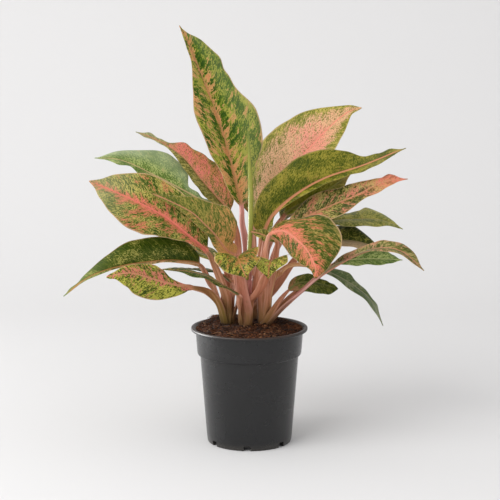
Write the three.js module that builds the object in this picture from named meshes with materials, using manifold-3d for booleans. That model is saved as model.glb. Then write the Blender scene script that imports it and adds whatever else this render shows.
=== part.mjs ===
// A potted Chinese evergreen (Aglaonema): a nursery pot, its soil, four short canes and the leaves.
// Millimetres, +Z up. The origin is the middle of the pot's underside, and the plant's front faces -Y.
import * as THREE from 'three';
import * as BufferGeometryUtils from 'three/addons/utils/BufferGeometryUtils.js';
import Module from 'manifold-3d';

const wasm = await Module();
wasm.setup();

// Driving dimensions
const potHeight = 130;
const rimRadius = 65;
const baseRadius = 47.5;
const shoulderRadius = 55; // top of the tapered body, under the collar
const collarHeight = 31;
const wall = 1.7;
const floorThickness = 2.5;
const footHeight = 2.5; // the floor stands this far above the surface below it
const padRadius = 15; // flat pad in the middle of the underside
const drainCount = 7;
const drainWidth = 7.5;
const drainHeight = 6;
const drainTurn = -93; // degrees, heading of the first drain notch
const soilCrown = 130;
const soilEdge = 127.5;
const fitGap = 0.3; // between pieces that touch
const caneRadius = 5;
const caneDepth = 20; // how far a cane is set into the soil
const caneFootHeight = 127;
const upward = new THREE.Vector3(0, 0, 1);
const petioleFootRadius = 2.4;
const petioleRadius = 1.8;
const petioleFootSpread = 1.6; // a petiole's foot is this much wider than thick
const midribTipRadius = 0.5;
const bladeHalfThickness = 0.5;
const bladeCurl = 7.5; // degrees that the outer edge of a half blade bends back
const roundSides = 48;

const pot = { color: 0x3a3b3d, roughness: 0.55, metalness: 0 };
const soil = { color: 0x4a2a1a, roughness: 1, metalness: 0 };
const cane = { color: 0xa8825e, roughness: 0.6, metalness: 0 };
const green = { color: 0x4f6b22, roughness: 0.45, metalness: 0 };
const freshGreen = { color: 0x93ab45, roughness: 0.4, metalness: 0 };
const pink = { color: 0xc98270, roughness: 0.45, metalness: 0 };

// Each cane's foot at the soil and its top
const canes = {
  left: { foot: [-23, 1, caneFootHeight], top: [-25, 2, 168] },
  centre: { foot: [-4, -13, caneFootHeight], top: [-3, -11, 184] },
  right: { foot: [15, -3, caneFootHeight], top: [16, -2, 170] },
  back: { foot: [2, 20, caneFootHeight], top: [4, 26, 180] },
};

// One entry for each leaf. height is where it leaves its cane, above the cane's foot, and heading is
// the side of the cane, in degrees from +X towards +Y. stalk and midrib are the points that the
// petiole and the blade's midrib pass through. faces are the directions that the upper surface looks
// in, from the blade's base to its tip. fold is how far each half blade lifts, in degrees, at base
// and tip. outline shapes the edge: where the blade is widest, then how blunt its base and tip are.
const leaves = [
  // left shoot
  {
    name: 'large_left_leaf', cane: 'left', height: 24, heading: 262,
    stalk: [[-26, -14, 167], [-36, -20, 197]],
    midrib: [[-46, -26, 218], [-65, -34, 236], [-91, -40, 258], [-127, -46, 278], [-170, -48, 297]],
    faces: [[-0.1, -0.85, 0.5], [-0.1, -0.8, 0.6], [0, -0.7, 0.7]],
    halfWidths: [29, 34], fold: [18, 12], outline: [1.1, 0.9, 1], finish: pink,
  },
  {
    name: 'left_pale_leaf', cane: 'left', height: 34, heading: 110,
    stalk: [[-24, 16, 180], [-26, 22, 224]],
    midrib: [[-41, 26, 260], [-57, 32, 269], [-74, 38, 278],
      [-108, 46, 295], [-145, 52, 311], [-176, 54, 312]],
    faces: [[-0.2, -0.5, 0.8], [-0.1, -0.5, 0.8], [0, -0.3, 1]],
    halfWidths: [23, 33], fold: [22, 8], outline: [0.95, 1, 1.2],
  },
  {
    name: 'left_pink_leaf', cane: 'left', height: 36, heading: 35,
    stalk: [[-13, 12, 194], [-14, 22, 230]],
    midrib: [[-23, 28, 256], [-36, 34, 270], [-56, 44, 292],
      [-75, 54, 314], [-102, 62, 332], [-130, 66, 343]],
    faces: [[0.5, -0.75, 0.3], [0.4, -0.8, 0.35], [0, -0.6, 0.7]],
    halfWidths: [17, 22], fold: [32, 10], outline: [0.8, 0.7, 2.2], finish: pink,
  },
  {
    name: 'left_dark_leaf', cane: 'left', height: 15, heading: 188,
    stalk: [[-34, -6, 161], [-46, -12, 187]],
    midrib: [[-55, -17, 202], [-74, -26, 207], [-96, -36, 209],
      [-135, -50, 206], [-169, -60, 196], [-197, -66, 176]],
    faces: [[0, -0.6, 0.8]],
    halfWidths: [19, 28], fold: [45, 36], outline: [0.72, 0.6, 1.5],
  },
  {
    name: 'low_left_leaf', cane: 'left', height: 6, heading: 225,
    stalk: [[-38, -16, 158], [-48, -26, 174]],
    midrib: [[-61, -42, 181], [-78, -54, 186], [-100, -66, 194], [-125, -78, 203], [-149, -86, 200]],
    faces: [[0.1, -0.9, 0.4], [0.1, -0.95, 0.3], [0, -0.9, 0.4]],
    halfWidths: [20, 15], fold: [8, 5], outline: [1.05, 1, 0.9],
  },
  {
    name: 'left_narrow_leaf', cane: 'left', height: 16, heading: 0,
    stalk: [[-13, 2, 164]],
    midrib: [[-19, 4, 179], [-39, 9, 191], [-66, 12, 193], [-89, 14, 193], [-114, 16, 189]],
    faces: [[0, 0.05, 1]],
    halfWidths: [11, 11], fold: [4, 0], outline: [0.95, 0.75, 1.5],
  },
  // centre shoot
  {
    name: 'tall_leaf', cane: 'centre', height: 48, heading: 90,
    stalk: [[-3, -2, 216], [-8, 4, 245]],
    midrib: [[-9, 8, 265], [-18, 12, 301], [-28, 15, 340], [-40, 16, 376],
      [-54, 15, 411], [-65, 12, 439], [-75, 8, 460]],
    faces: [[0.6, -0.8, 0.1], [0.6, -0.8, 0.1], [0.8, -0.6, 0.1]],
    halfWidths: [36, 41], fold: [28, 22], outline: [0.85, 0.62, 1.35],
  },
  {
    name: 'inner_left_leaf', cane: 'centre', height: 30, heading: 150,
    stalk: [[-14, -12, 184], [-14, -16, 202]],
    midrib: [[-16, -21, 213], [-25, -28, 220], [-37, -33, 237],
      [-49, -37, 250], [-63, -40, 263], [-89, -45, 277], [-107, -48, 285]],
    faces: [[0.35, -0.8, 0.35], [0.25, -0.75, 0.5], [0.1, -0.65, 0.7]],
    halfWidths: [6, 26], fold: [25, 10], outline: [0.7, 0.6, 1.3],
  },
  {
    name: 'front_pointing_leaf', cane: 'centre', height: 26, heading: -110,
    stalk: [[-9, -32, 179], [-11, -42, 203]],
    midrib: [[-13, -50, 214], [-12, -64, 216], [-9, -78, 211], [-3, -86, 199]],
    faces: [[-0.1, -0.3, 1], [-0.1, -0.6, 0.8], [0, -1, 0.1]],
    halfWidths: [26, 26], fold: [32, 5], outline: [0.75, 0.6, 1.2],
  },
  {
    name: 'front_curled_leaf', cane: 'centre', height: 34, heading: -40,
    stalk: [[12, -24, 175], [20, -32, 197]],
    midrib: [[24, -38, 206], [23, -50, 211], [21, -60, 207], [20, -66, 195]],
    faces: [[-0.1, -0.4, 0.9], [-0.1, -0.7, 0.7], [0, -1, 0.1]],
    halfWidths: [18, 18], fold: [35, 0], outline: [0.75, 0.6, 1.2],
  },
  {
    name: 'upper_right_green_leaf', cane: 'centre', height: 42, heading: 55,
    stalk: [[8, -6, 172], [12, -2, 207]],
    midrib: [[17, 2, 233], [27, 6, 254], [52, 12, 276], [85, 18, 294], [128, 22, 308], [176, 24, 325]],
    faces: [[-0.6, -0.8, 0.2], [-0.4, -0.8, 0.5], [-0.2, -0.7, 0.8], [0, -0.5, 1]],
    halfWidths: [34, 34], fold: [38, 25], outline: [0.7, 0.55, 1.5],
  },
  {
    name: 'low_left_edge_leaf', cane: 'centre', height: 10, heading: -165,
    stalk: [[-11, -28, 162]],
    midrib: [[-12, -36, 173], [-29, -42, 184], [-48, -46, 195], [-69, -48, 200], [-90, -50, 202]],
    faces: [[0, -0.1, 1]],
    halfWidths: [13, 13], fold: [4, 0], outline: [0.95, 0.75, 1.5],
  },
  // right shoot
  {
    name: 'upper_right_pink_leaf', cane: 'right', height: 38, heading: 120,
    stalk: [[13, 16, 191], [14, 30, 223]],
    midrib: [[15, 40, 249], [31, 52, 278], [57, 62, 311], [88, 70, 344], [112, 76, 364], [129, 76, 370]],
    faces: [[-0.5, -0.75, 0.4], [-0.55, -0.7, 0.45], [-0.4, -0.8, 0.5]],
    halfWidths: [49, 34], fold: [20, 10], outline: [1, 0.6, 1.1], finish: pink,
  },
  {
    name: 'right_middle_leaf', cane: 'right', height: 30, heading: 55,
    stalk: [[22, 8, 187], [29, 8, 213]],
    midrib: [[37, 9, 232], [57, 12, 248], [87, 14, 262], [118, 14, 275], [149, 12, 290], [175, 10, 294]],
    faces: [[-0.3, -0.8, 0.5], [-0.1, -0.8, 0.6], [0.1, -0.6, 0.8]],
    halfWidths: [26, 17], fold: [18, 10], outline: [0.75, 0.7, 1.3],
  },
  {
    name: 'front_drooping_leaf', cane: 'right', height: 34, heading: -105,
    stalk: [[17, -18, 197], [18, -25, 222]],
    midrib: [[23, -30, 238], [37, -37, 242], [51, -50, 234],
      [62, -60, 223], [69, -69, 209], [70, -72, 196]],
    faces: [[-0.3, -0.4, 0.9], [0.1, -0.7, 0.7], [0.3, -0.9, 0.2]],
    halfWidths: [38, 18], fold: [10, 5], outline: [0.9, 0.8, 1], finish: pink,
  },
  {
    name: 'front_small_leaf', cane: 'right', height: 26, heading: -45,
    stalk: [[24, -9, 184], [29, -12, 211]],
    midrib: [[30, -11, 227], [20, -12, 232], [11, -14, 236], [0, -17, 239]],
    faces: [[0, -0.8, 0.6]],
    halfWidths: [7, 7], fold: [20, 10], outline: [0.95, 0.75, 1.5],
  },
  {
    name: 'right_arching_leaf', cane: 'right', height: 6, heading: -25,
    stalk: [[38, -12, 155], [58, -18, 174]],
    midrib: [[76, -24, 191], [104, -34, 210], [134, -42, 223], [161, -50, 222], [186, -56, 202]],
    faces: [[-0.2, -0.3, 1], [0, -0.4, 0.9], [0.4, -0.5, 0.8]],
    halfWidths: [15, 15], fold: [50, 15], outline: [1.1, 0.8, 1.2],
  },
  {
    name: 'right_under_leaf', cane: 'right', height: 6, heading: 35,
    stalk: [[40, 8, 153], [61, 14, 171]],
    midrib: [[97, 22, 197], [119, 27, 201], [146, 32, 201], [174, 38, 199]],
    faces: [[0, -0.5, 0.9]],
    halfWidths: [16, 16], fold: [15, 5], outline: [0.95, 0.75, 1.5],
  },
  {
    name: 'low_right_leaf', cane: 'right', height: 6, heading: -80,
    stalk: [[26, -11, 149], [35, -5, 162]],
    midrib: [[44, 0, 171], [55, 3, 178], [69, 5, 179], [83, 6, 176], [99, 8, 171]],
    faces: [[0, -0.7, 0.7]],
    halfWidths: [13, 17], fold: [20, 10], outline: [0.9, 0.7, 0.8],
  },
  {
    name: 'low_drooping_leaf', cane: 'right', height: 15, heading: 12,
    stalk: [[28, -3, 172], [35, -3, 188], [48, -3, 199]],
    midrib: [[64, 0, 199], [90, 2, 190], [117, 0, 175], [136, 0, 158], [149, -2, 131]],
    faces: [[0.2, -0.3, 1], [0.5, -0.4, 0.8], [0.9, -0.4, 0.3]],
    halfWidths: [16, 16], fold: [15, 10], outline: [1.1, 0.8, 1.3], stalkRadius: 3,
  },
  // back shoot
  {
    name: 'right_shaded_leaf', cane: 'back', height: 38, heading: 40,
    stalk: [[17, 36, 190], [23, 41, 222]],
    midrib: [[41, 46, 250], [63, 52, 264], [92, 58, 279], [118, 62, 297]],
    faces: [[-0.2, -0.7, 0.7]],
    halfWidths: [24, 24], fold: [25, 10], outline: [0.95, 0.75, 1.5],
  },
  {
    name: 'right_far_leaf', cane: 'back', height: 30, heading: 0,
    stalk: [[29, 34, 186], [46, 44, 215]],
    midrib: [[67, 54, 234], [95, 62, 241], [125, 70, 242], [154, 76, 239], [180, 80, 227]],
    faces: [[0, -0.35, 1]],
    halfWidths: [24, 24], fold: [14, 5], outline: [1.1, 0.9, 1.2],
  },
  {
    name: 'right_dark_leaf', cane: 'back', height: 18, heading: -70,
    stalk: [[30, 24, 171], [53, 38, 201]],
    midrib: [[75, 48, 215], [98, 54, 219], [122, 60, 215], [146, 64, 209]],
    faces: [[0, -0.5, 0.9]],
    halfWidths: [20, 20], fold: [25, 10], outline: [0.95, 0.75, 1.5],
  },
  {
    name: 'back_upright_leaf', cane: 'back', height: 46, heading: 100,
    stalk: [[0, 46, 209]],
    midrib: [[-3, 60, 248], [-7, 78, 287], [-16, 98, 326], [-29, 122, 360]],
    faces: [[0, -0.8, 0.5]],
    halfWidths: [28, 28], fold: [25, 10], outline: [0.95, 0.75, 1.5],
  },
  {
    name: 'back_left_leaf', cane: 'back', height: 32, heading: 150,
    stalk: [[-15, 46, 195]],
    midrib: [[-32, 62, 233], [-58, 84, 249], [-91, 104, 261], [-131, 122, 259]],
    faces: [[0, 0, 1]],
    halfWidths: [28, 28], fold: [20, 10], outline: [0.95, 0.75, 1.5],
  },
  {
    name: 'back_right_leaf', cane: 'back', height: 30, heading: 80,
    stalk: [[14, 50, 195]],
    midrib: [[38, 66, 239], [59, 86, 258], [83, 104, 264], [106, 122, 259]],
    faces: [[0, 0, 1]],
    halfWidths: [26, 26], fold: [20, 10], outline: [0.95, 0.75, 1.5],
  },
  {
    name: 'back_low_left_leaf', cane: 'back', height: 14, heading: 180,
    stalk: [[-15, 40, 164]],
    midrib: [[-32, 58, 189], [-58, 80, 202], [-92, 102, 206], [-122, 118, 194]],
    faces: [[0, 0, 1]],
    halfWidths: [24, 24], fold: [15, 10], outline: [0.95, 0.75, 1.5],
  },
  {
    name: 'back_low_leaf', cane: 'back', height: 8, heading: 95,
    stalk: [[2, 50, 153]],
    midrib: [[2, 66, 166], [2, 90, 174], [3, 114, 173], [3, 138, 154]],
    faces: [[0, 0.2, 1]],
    halfWidths: [26, 26], fold: [15, 5], outline: [0.95, 0.75, 1.5],
  },
];

const rolledLeaf = {
  points: [[2, -9, 234], [3, -7, 267], [3, -6, 283], [2, -4, 307], [1, -2, 329], [0, 0, 350]],
  radius: 2.9, footRadius: 2, tipRadius: 0.5,
};

const plant = new THREE.Group();
const degrees = THREE.MathUtils.degToRad;
const smooth = (x) => x * x * (3 - 2 * x);

function addPiece(name, geometry, finish) {
  const mesh = new THREE.Mesh(geometry, new THREE.MeshStandardMaterial(finish));
  mesh.name = name;
  plant.add(mesh);
  return mesh;
}

function solidOf(geometry) {
  const bare = geometry.clone();
  bare.deleteAttribute('normal');
  bare.deleteAttribute('uv');
  const merged = BufferGeometryUtils.mergeVertices(bare, 1e-3);
  const index = merged.index.array;
  const kept = [];
  for (let i = 0; i < index.length; i += 3) {
    const [a, b, c] = index.slice(i, i + 3);
    if (a !== b && b !== c && c !== a) kept.push(a, b, c);
  }
  const vertProperties = new Float32Array(merged.attributes.position.array);
  return new wasm.Manifold(new wasm.Mesh({ numProp: 3, vertProperties, triVerts: new Uint32Array(kept) }));
}

function geometryOf(solid) {
  const { vertProperties, triVerts } = solid.getMesh();
  const geometry = new THREE.BufferGeometry();
  geometry.setAttribute('position', new THREE.BufferAttribute(vertProperties, 3));
  geometry.setIndex(new THREE.BufferAttribute(triVerts, 1));
  geometry.computeVertexNormals();
  return geometry;
}

function lathe(profile) {
  const points = profile.map(([radius, height]) => new THREE.Vector2(radius, height));
  return new THREE.LatheGeometry(points, roundSides).rotateX(Math.PI / 2);
}

// Outer radius of the pot's tapered body at a height
const bodyRadius = (z) => THREE.MathUtils.mapLinear(z, 0, potHeight - collarHeight, baseRadius, shoulderRadius);

function buildPot() {
  const collarFoot = potHeight - collarHeight;
  const collarTop = potHeight - 3.5;
  const insideFloor = footHeight + floorThickness;
  const shell = lathe([
    [0, 0], [padRadius, 0], [padRadius, footHeight], [baseRadius - 4, footHeight],
    [baseRadius - 4, 0], [baseRadius, 0],
    [shoulderRadius, collarFoot], [shoulderRadius + 2.6, collarFoot + 0.8],
    [shoulderRadius + 3.2, collarFoot + 2.4],
    [rimRadius - 5, collarTop], [rimRadius - 0.8, collarTop], [rimRadius, collarTop + 1],
    [rimRadius, potHeight - 0.8], [rimRadius - 0.8, potHeight], [rimRadius - 3.4, potHeight],
    [rimRadius - 5 - wall, potHeight - 3],
    [shoulderRadius + 3.2 - wall, collarFoot + 2.4], [shoulderRadius - wall, collarFoot],
    [bodyRadius(insideFloor) - wall, insideFloor], [0, insideFloor],
  ]);
  let solid = solidOf(shell);
  for (let i = 0; i < drainCount; i += 1) {
    const notch = new THREE.BoxGeometry(12, drainWidth, drainHeight + 2);
    notch.translate(baseRadius, 0, drainHeight / 2 - 1);
    notch.rotateZ(degrees(drainTurn + (i * 360) / drainCount));
    solid = solid.subtract(solidOf(notch));
  }
  addPiece('pot', geometryOf(solid), pot);
}

function caneGeometry({ foot, top }, radius, depth) {
  const low = new THREE.Vector3(...foot);
  const high = new THREE.Vector3(...top);
  const along = high.clone().sub(low).normalize();
  low.addScaledVector(along, -depth);
  const geometry = new THREE.CylinderGeometry(radius, radius, low.distanceTo(high), 16);
  geometry.applyQuaternion(new THREE.Quaternion().setFromUnitVectors(new THREE.Vector3(0, 1, 0), along));
  const middle = low.add(high).multiplyScalar(0.5);
  return geometry.translate(middle.x, middle.y, middle.z);
}

function buildSoil() {
  const collarFoot = potHeight - collarHeight;
  const insideFloor = footHeight + floorThickness + fitGap;
  const clear = wall + fitGap;
  const fill = lathe([
    [0, insideFloor], [bodyRadius(insideFloor) - clear, insideFloor],
    [shoulderRadius - clear, collarFoot], [shoulderRadius + 3.2 - clear, collarFoot + 2.8],
    [rimRadius - 5 - clear, soilEdge], [30, soilCrown - 0.6], [0, soilCrown],
  ]);
  let solid = solidOf(fill);
  for (const place of Object.values(canes)) {
    solid = solid.subtract(solidOf(caneGeometry(place, caneRadius + fitGap, caneDepth + fitGap)));
  }
  addPiece('soil', geometryOf(solid), soil);
}

// A closed skin over rings of points, with flat ends
function loft(rings) {
  const sides = rings[0].length;
  const index = [];
  for (let i = 0; i < rings.length - 1; i += 1) {
    for (let j = 0; j < sides; j += 1) {
      const a = i * sides + j;
      const b = i * sides + ((j + 1) % sides);
      index.push(a, b, a + sides, b, b + sides, a + sides);
    }
  }
  const last = (rings.length - 1) * sides;
  for (let j = 1; j < sides - 1; j += 1) {
    index.push(0, j + 1, j, last, last + j, last + j + 1);
  }
  const geometry = new THREE.BufferGeometry().setFromPoints(rings.flat());
  geometry.setIndex(index);
  geometry.computeVertexNormals();
  return geometry;
}

// Length fractions along a curve: stalkSteps up to the point numbered knee, then bladeSteps to the end
function stations(curve, knee, stalkSteps, bladeSteps) {
  const lengths = curve.getLengths();
  const place = (knee / (curve.points.length - 1)) * (lengths.length - 1);
  const below = Math.floor(place);
  const above = Math.min(below + 1, lengths.length - 1);
  const kneeLength = THREE.MathUtils.lerp(lengths[below], lengths[above], place - below);
  const kneeFraction = kneeLength / lengths[lengths.length - 1];
  const list = [];
  for (let i = 0; i < stalkSteps; i += 1) {
    list.push({ fraction: (kneeFraction * i) / stalkSteps, stalk: i / stalkSteps, blade: 0 });
  }
  for (let i = 0; i <= bladeSteps; i += 1) {
    const blade = i / bladeSteps;
    list.push({ fraction: kneeFraction + (1 - kneeFraction) * blade, stalk: 1, blade });
  }
  return list;
}

function facing(leaf, inward, { stalk, blade }) {
  const faces = leaf.faces.map((face) => new THREE.Vector3(...face).normalize());
  if (stalk < 1) {
    return inward.clone().lerp(faces[0], smooth(stalk));
  }
  const place = blade * (faces.length - 1);
  const below = Math.min(Math.floor(place), Math.max(faces.length - 2, 0));
  const above = Math.min(below + 1, faces.length - 1);
  return faces[below].clone().lerp(faces[above], place - below);
}

// Relative half width along the blade, 0 at both ends and about 1 at its widest
function outlineWidth([peak, base, tip], blade) {
  const s = THREE.MathUtils.clamp(blade, 1e-6, 1 - 1e-6);
  return blade > 0 ? Math.sin(Math.PI * s ** peak) ** (base + (tip - base) * s) : 0;
}

// Eight points round the petiole, which spread into the blade's edge, half-way and midrib points
function leafRing(leaf, station, middle, normal, side) {
  const { stalk, blade } = station;
  const stalkRadius = leaf.stalkRadius ?? petioleRadius;
  const thickness = blade > 0
    ? midribTipRadius + (stalkRadius - midribTipRadius) * Math.exp(-5 * blade)
    : THREE.MathUtils.lerp(petioleFootRadius, stalkRadius, Math.min(stalk * 1.5, 1));
  const spread = 1 + (petioleFootSpread - 1) * (1 - stalk) ** 1.5;
  const lift = degrees(THREE.MathUtils.lerp(leaf.fold[0], leaf.fold[1], blade));
  const ring = [];
  for (let j = 0; j < 8; j += 1) {
    const turn = Math.PI - (j * Math.PI) / 4;
    const out = [-1, -0.5, 0, 0.5, 1, 0.5, 0, -0.5][j];
    const width = leaf.halfWidths[out < 0 ? 0 : 1] * outlineWidth(leaf.outline, blade);
    const angle = lift - degrees(bladeCurl) * Math.abs(out);
    const flat = blade > 0 && out !== 0 ? THREE.MathUtils.clamp(width / 5, 0, 1) : 0;
    const skin = Math.abs(out) === 1 ? 0 : Math.sign(Math.sin(turn)) * bladeHalfThickness;
    const edge = Math.abs(out) === 1 ? Math.sign(out) * bladeHalfThickness : 0;
    const across = THREE.MathUtils.lerp(thickness * spread * Math.cos(turn), edge, flat);
    const up = THREE.MathUtils.lerp(thickness * Math.sin(turn), skin, flat);
    ring.push(middle.clone()
      .addScaledVector(side, out * width * Math.cos(angle) + across)
      .addScaledVector(normal, Math.abs(out) * width * Math.sin(angle) + up));
  }
  return ring;
}

function buildLeaf(leaf) {
  const { foot, top } = canes[leaf.cane];
  const caneAxis = new THREE.Vector3(...foot).lerp(new THREE.Vector3(...top), leaf.height / (top[2] - foot[2]));
  const heading = degrees(leaf.heading);
  const outward = new THREE.Vector3(Math.cos(heading), Math.sin(heading), 0);
  const start = caneAxis.addScaledVector(outward, caneRadius + fitGap + petioleFootRadius);
  const points = [start, ...[...leaf.stalk, ...leaf.midrib].map((point) => new THREE.Vector3(...point))];
  const curve = new THREE.CatmullRomCurve3(points, false, 'catmullrom', 0.5);
  const inward = outward.clone().negate();
  if (inward.dot(new THREE.Vector3(...leaf.faces[0])) < 0) inward.negate();
  const rings = stations(curve, 1 + leaf.stalk.length, 5, 8).map((station) => {
    // the foot lies flat against the cane, and the petiole leans out above it
    const along = upward.clone().lerp(curve.getTangentAt(station.fraction), Math.min(station.stalk * 3, 1));
    along.normalize();
    const normal = facing(leaf, inward, station);
    normal.addScaledVector(along, -normal.dot(along)).normalize();
    const side = new THREE.Vector3().crossVectors(along, normal);
    return leafRing(leaf, station, curve.getPointAt(station.fraction), normal, side);
  });
  addPiece(leaf.name, loft(rings), leaf.finish ?? green);
}

function buildRolledLeaf({ points, radius, footRadius, tipRadius }) {
  const top = new THREE.Vector3(...canes.centre.top);
  const start = top.add(new THREE.Vector3(0, 0, 2 * fitGap));
  const curve = new THREE.CatmullRomCurve3([start, ...points.map((p) => new THREE.Vector3(...p))]);
  const steps = 12;
  const rings = [];
  for (let i = 0; i <= steps; i += 1) {
    const along = curve.getTangentAt(i / steps);
    const side = new THREE.Vector3().crossVectors(along, new THREE.Vector3(0, -1, 0)).normalize();
    const front = new THREE.Vector3().crossVectors(side, along);
    const swell = THREE.MathUtils.lerp(footRadius, radius, smooth(Math.min(i / 5, 1)));
    const size = THREE.MathUtils.lerp(swell, tipRadius, Math.max(0, (i - 8) / (steps - 8)) ** 1.5);
    const ring = [];
    for (let j = 0; j < 8; j += 1) {
      const turn = Math.PI - (j * Math.PI) / 4;
      ring.push(curve.getPointAt(i / steps)
        .addScaledVector(side, size * Math.cos(turn))
        .addScaledVector(front, size * Math.sin(turn)));
    }
    rings.push(ring);
  }
  addPiece('rolled_new_leaf', loft(rings), freshGreen);
}

buildPot();
buildSoil();
for (const [name, place] of Object.entries(canes)) {
  addPiece(`${name}_cane`, caneGeometry(place, caneRadius, caneDepth), cane);
}
for (const leaf of leaves) {
  buildLeaf(leaf);
}
buildRolledLeaf(rolledLeaf);

export default plant;
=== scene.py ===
import math
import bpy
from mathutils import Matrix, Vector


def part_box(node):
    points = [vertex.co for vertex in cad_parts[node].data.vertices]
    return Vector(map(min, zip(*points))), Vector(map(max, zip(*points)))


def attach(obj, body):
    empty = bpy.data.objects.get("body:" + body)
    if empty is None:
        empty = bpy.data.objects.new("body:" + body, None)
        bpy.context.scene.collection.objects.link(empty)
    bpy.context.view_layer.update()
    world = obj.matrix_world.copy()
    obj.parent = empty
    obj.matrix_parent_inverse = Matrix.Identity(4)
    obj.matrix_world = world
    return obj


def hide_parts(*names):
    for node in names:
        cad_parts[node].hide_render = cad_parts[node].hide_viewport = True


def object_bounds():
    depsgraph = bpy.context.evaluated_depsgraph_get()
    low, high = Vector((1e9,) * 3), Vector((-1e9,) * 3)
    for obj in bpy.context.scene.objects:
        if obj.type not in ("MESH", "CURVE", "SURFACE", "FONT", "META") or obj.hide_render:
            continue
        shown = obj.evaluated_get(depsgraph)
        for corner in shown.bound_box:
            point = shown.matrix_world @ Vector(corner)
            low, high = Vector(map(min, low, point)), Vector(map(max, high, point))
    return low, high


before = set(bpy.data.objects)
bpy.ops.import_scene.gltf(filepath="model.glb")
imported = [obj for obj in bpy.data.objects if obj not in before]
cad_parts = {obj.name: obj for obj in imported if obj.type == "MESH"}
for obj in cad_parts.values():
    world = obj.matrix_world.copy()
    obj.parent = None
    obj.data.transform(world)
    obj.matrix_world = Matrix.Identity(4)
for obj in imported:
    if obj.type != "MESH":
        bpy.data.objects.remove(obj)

from types import SimpleNamespace

import bmesh
import bpy
import numpy as np
from mathutils import Matrix, Vector

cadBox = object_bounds()
mm = 0.001
body = "root"
number, colour = "NodeSocketFloat", "NodeSocketColor"
shape, substance = "NodeSocketGeometry", "NodeSocketMaterial"


def tint(red, green, blue):
    # a screen colour, 0 to 255, as the linear colour that shaders use
    parts = [c / 255 for c in (red, green, blue)]
    return tuple(c / 12.92 if c <= 0.04045 else ((c + 0.055) / 1.055) ** 2.4 for c in parts) + (1.0,)


def plug(tree, place, value):
    value = getattr(value, "socket", value)
    if isinstance(value, bpy.types.NodeSocket):
        tree.links.new(value, place)
    else:
        place.default_value = value


def addNode(tree, kind, settings=None, **inputs):
    node = tree.nodes.new(kind)
    for name, value in (settings or {}).items():
        setattr(node, name, value)
    for name, value in inputs.items():
        plug(tree, node.inputs[name.replace("_", " ")], value)
    return node


def wired(tree, kind, settings, *values):
    # a node whose inputs are filled in order
    node = addNode(tree, kind, settings)
    for place, value in zip(node.inputs, values):
        plug(tree, place, value)
    return Field(tree, node.outputs[0])


# Node trees are written as sums: a Field wraps one socket, and each step adds a node
class Field:
    def __init__(self, tree, socket):
        self.tree = tree
        self.socket = socket

    def math(self, operation, *others, clamp=False):
        return wired(self.tree, "ShaderNodeMath", {"operation": operation, "use_clamp": clamp}, self, *others)

    def __neg__(self):
        return self * -1.0

    def __radd__(self, other):
        return self + other

    def __rmul__(self, other):
        return self * other

    def __rsub__(self, other):
        return -self + other

    def clamped(self):
        return self.math("ADD", 0.0, clamp=True)

    def bump(self, reach):
        # 1 at zero, about a third at the reach and nothing well past it
        scaled = self / reach
        return (-(scaled * scaled)).exponent()

    def smooth(self):
        # from 0 to 1, level at both
        return self * self * (3.0 - self * 2.0)

    def ramp(self, low, high, start=0.0, end=1.0, kind="SMOOTHSTEP"):
        settings = {"interpolation_type": kind}
        return wired(self.tree, "ShaderNodeMapRange", settings, self, low, high, start, end)

    def mix(self, other, share):
        return self + (other - self) * share

    def along(self, direction):
        # a vector of this length
        settings = {"operation": "SCALE"}
        node = addNode(self.tree, "ShaderNodeVectorMath", settings, Vector=direction, Scale=self)
        return Field(self.tree, node.outputs[0])

    def plus(self, other):
        return wired(self.tree, "ShaderNodeVectorMath", {}, self, other)

    def split(self):
        node = addNode(self.tree, "ShaderNodeSeparateXYZ", Vector=self)
        return [Field(self.tree, output) for output in node.outputs]


fieldMaths = {
    "__add__": "ADD", "__sub__": "SUBTRACT", "__mul__": "MULTIPLY", "__truediv__": "DIVIDE",
    "__pow__": "POWER", "size": "ABSOLUTE", "sign": "SIGN", "atLeast": "MAXIMUM", "atMost": "MINIMUM",
    "isOver": "GREATER_THAN", "nearest": "ROUND", "part": "FRACT", "root": "SQRT",
    "exponent": "EXPONENT", "sine": "SINE", "cosine": "COSINE",
}
for word, operation in fieldMaths.items():
    setattr(Field, word, lambda self, *others, chosen=operation: self.math(chosen, *others))


def treeOf(*parts):
    return next(part.tree for part in parts if isinstance(part, Field))


def joined(x, y, z=0.0):
    tree = treeOf(x, y, z)
    return Field(tree, addNode(tree, "ShaderNodeCombineXYZ", X=x, Y=y, Z=z).outputs[0])


def noise(place, scale=1.0, detail=2.0, roughness=0.5, output=0):
    node = addNode(place.tree, "ShaderNodeTexNoise", Vector=place, Scale=scale, Detail=detail,
                   Roughness=roughness)
    return Field(place.tree, node.outputs[output])


def blend(share, first, second):
    tree = treeOf(share, first, second)
    node = addNode(tree, "ShaderNodeMix", {"data_type": "RGBA"})
    # the node has sockets for each kind of data: 6 and 7 are its two colours, and output 2 the result
    for place, value in ((0, share), (6, first), (7, second)):
        plug(tree, node.inputs[place], value)
    return Field(tree, node.outputs[2])


def readAttributes(tree, *names):
    nodes = [addNode(tree, "ShaderNodeAttribute", {"attribute_name": name}) for name in names]
    return [Field(tree, node.outputs["Fac"]) for node in nodes]


def newTree(name, kind, inputs, outputs):
    # an input's usual value says its kind: a whole number, a number or a colour
    tree = bpy.data.node_groups.new(name, kind)
    kinds = {int: "NodeSocketInt", float: number, tuple: colour}
    for label, value in inputs.items():
        socket = tree.interface.new_socket(label, in_out="INPUT", socket_type=kinds.get(type(value), value))
        if type(value) in kinds:
            socket.default_value = value
    for label, socketType in outputs.items():
        tree.interface.new_socket(label, in_out="OUTPUT", socket_type=socketType)
    given = tree.nodes.new("NodeGroupInput")
    made = tree.nodes.new("NodeGroupOutput")
    return tree, SimpleNamespace(**{label: Field(tree, given.outputs[label]) for label in inputs}), made


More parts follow.
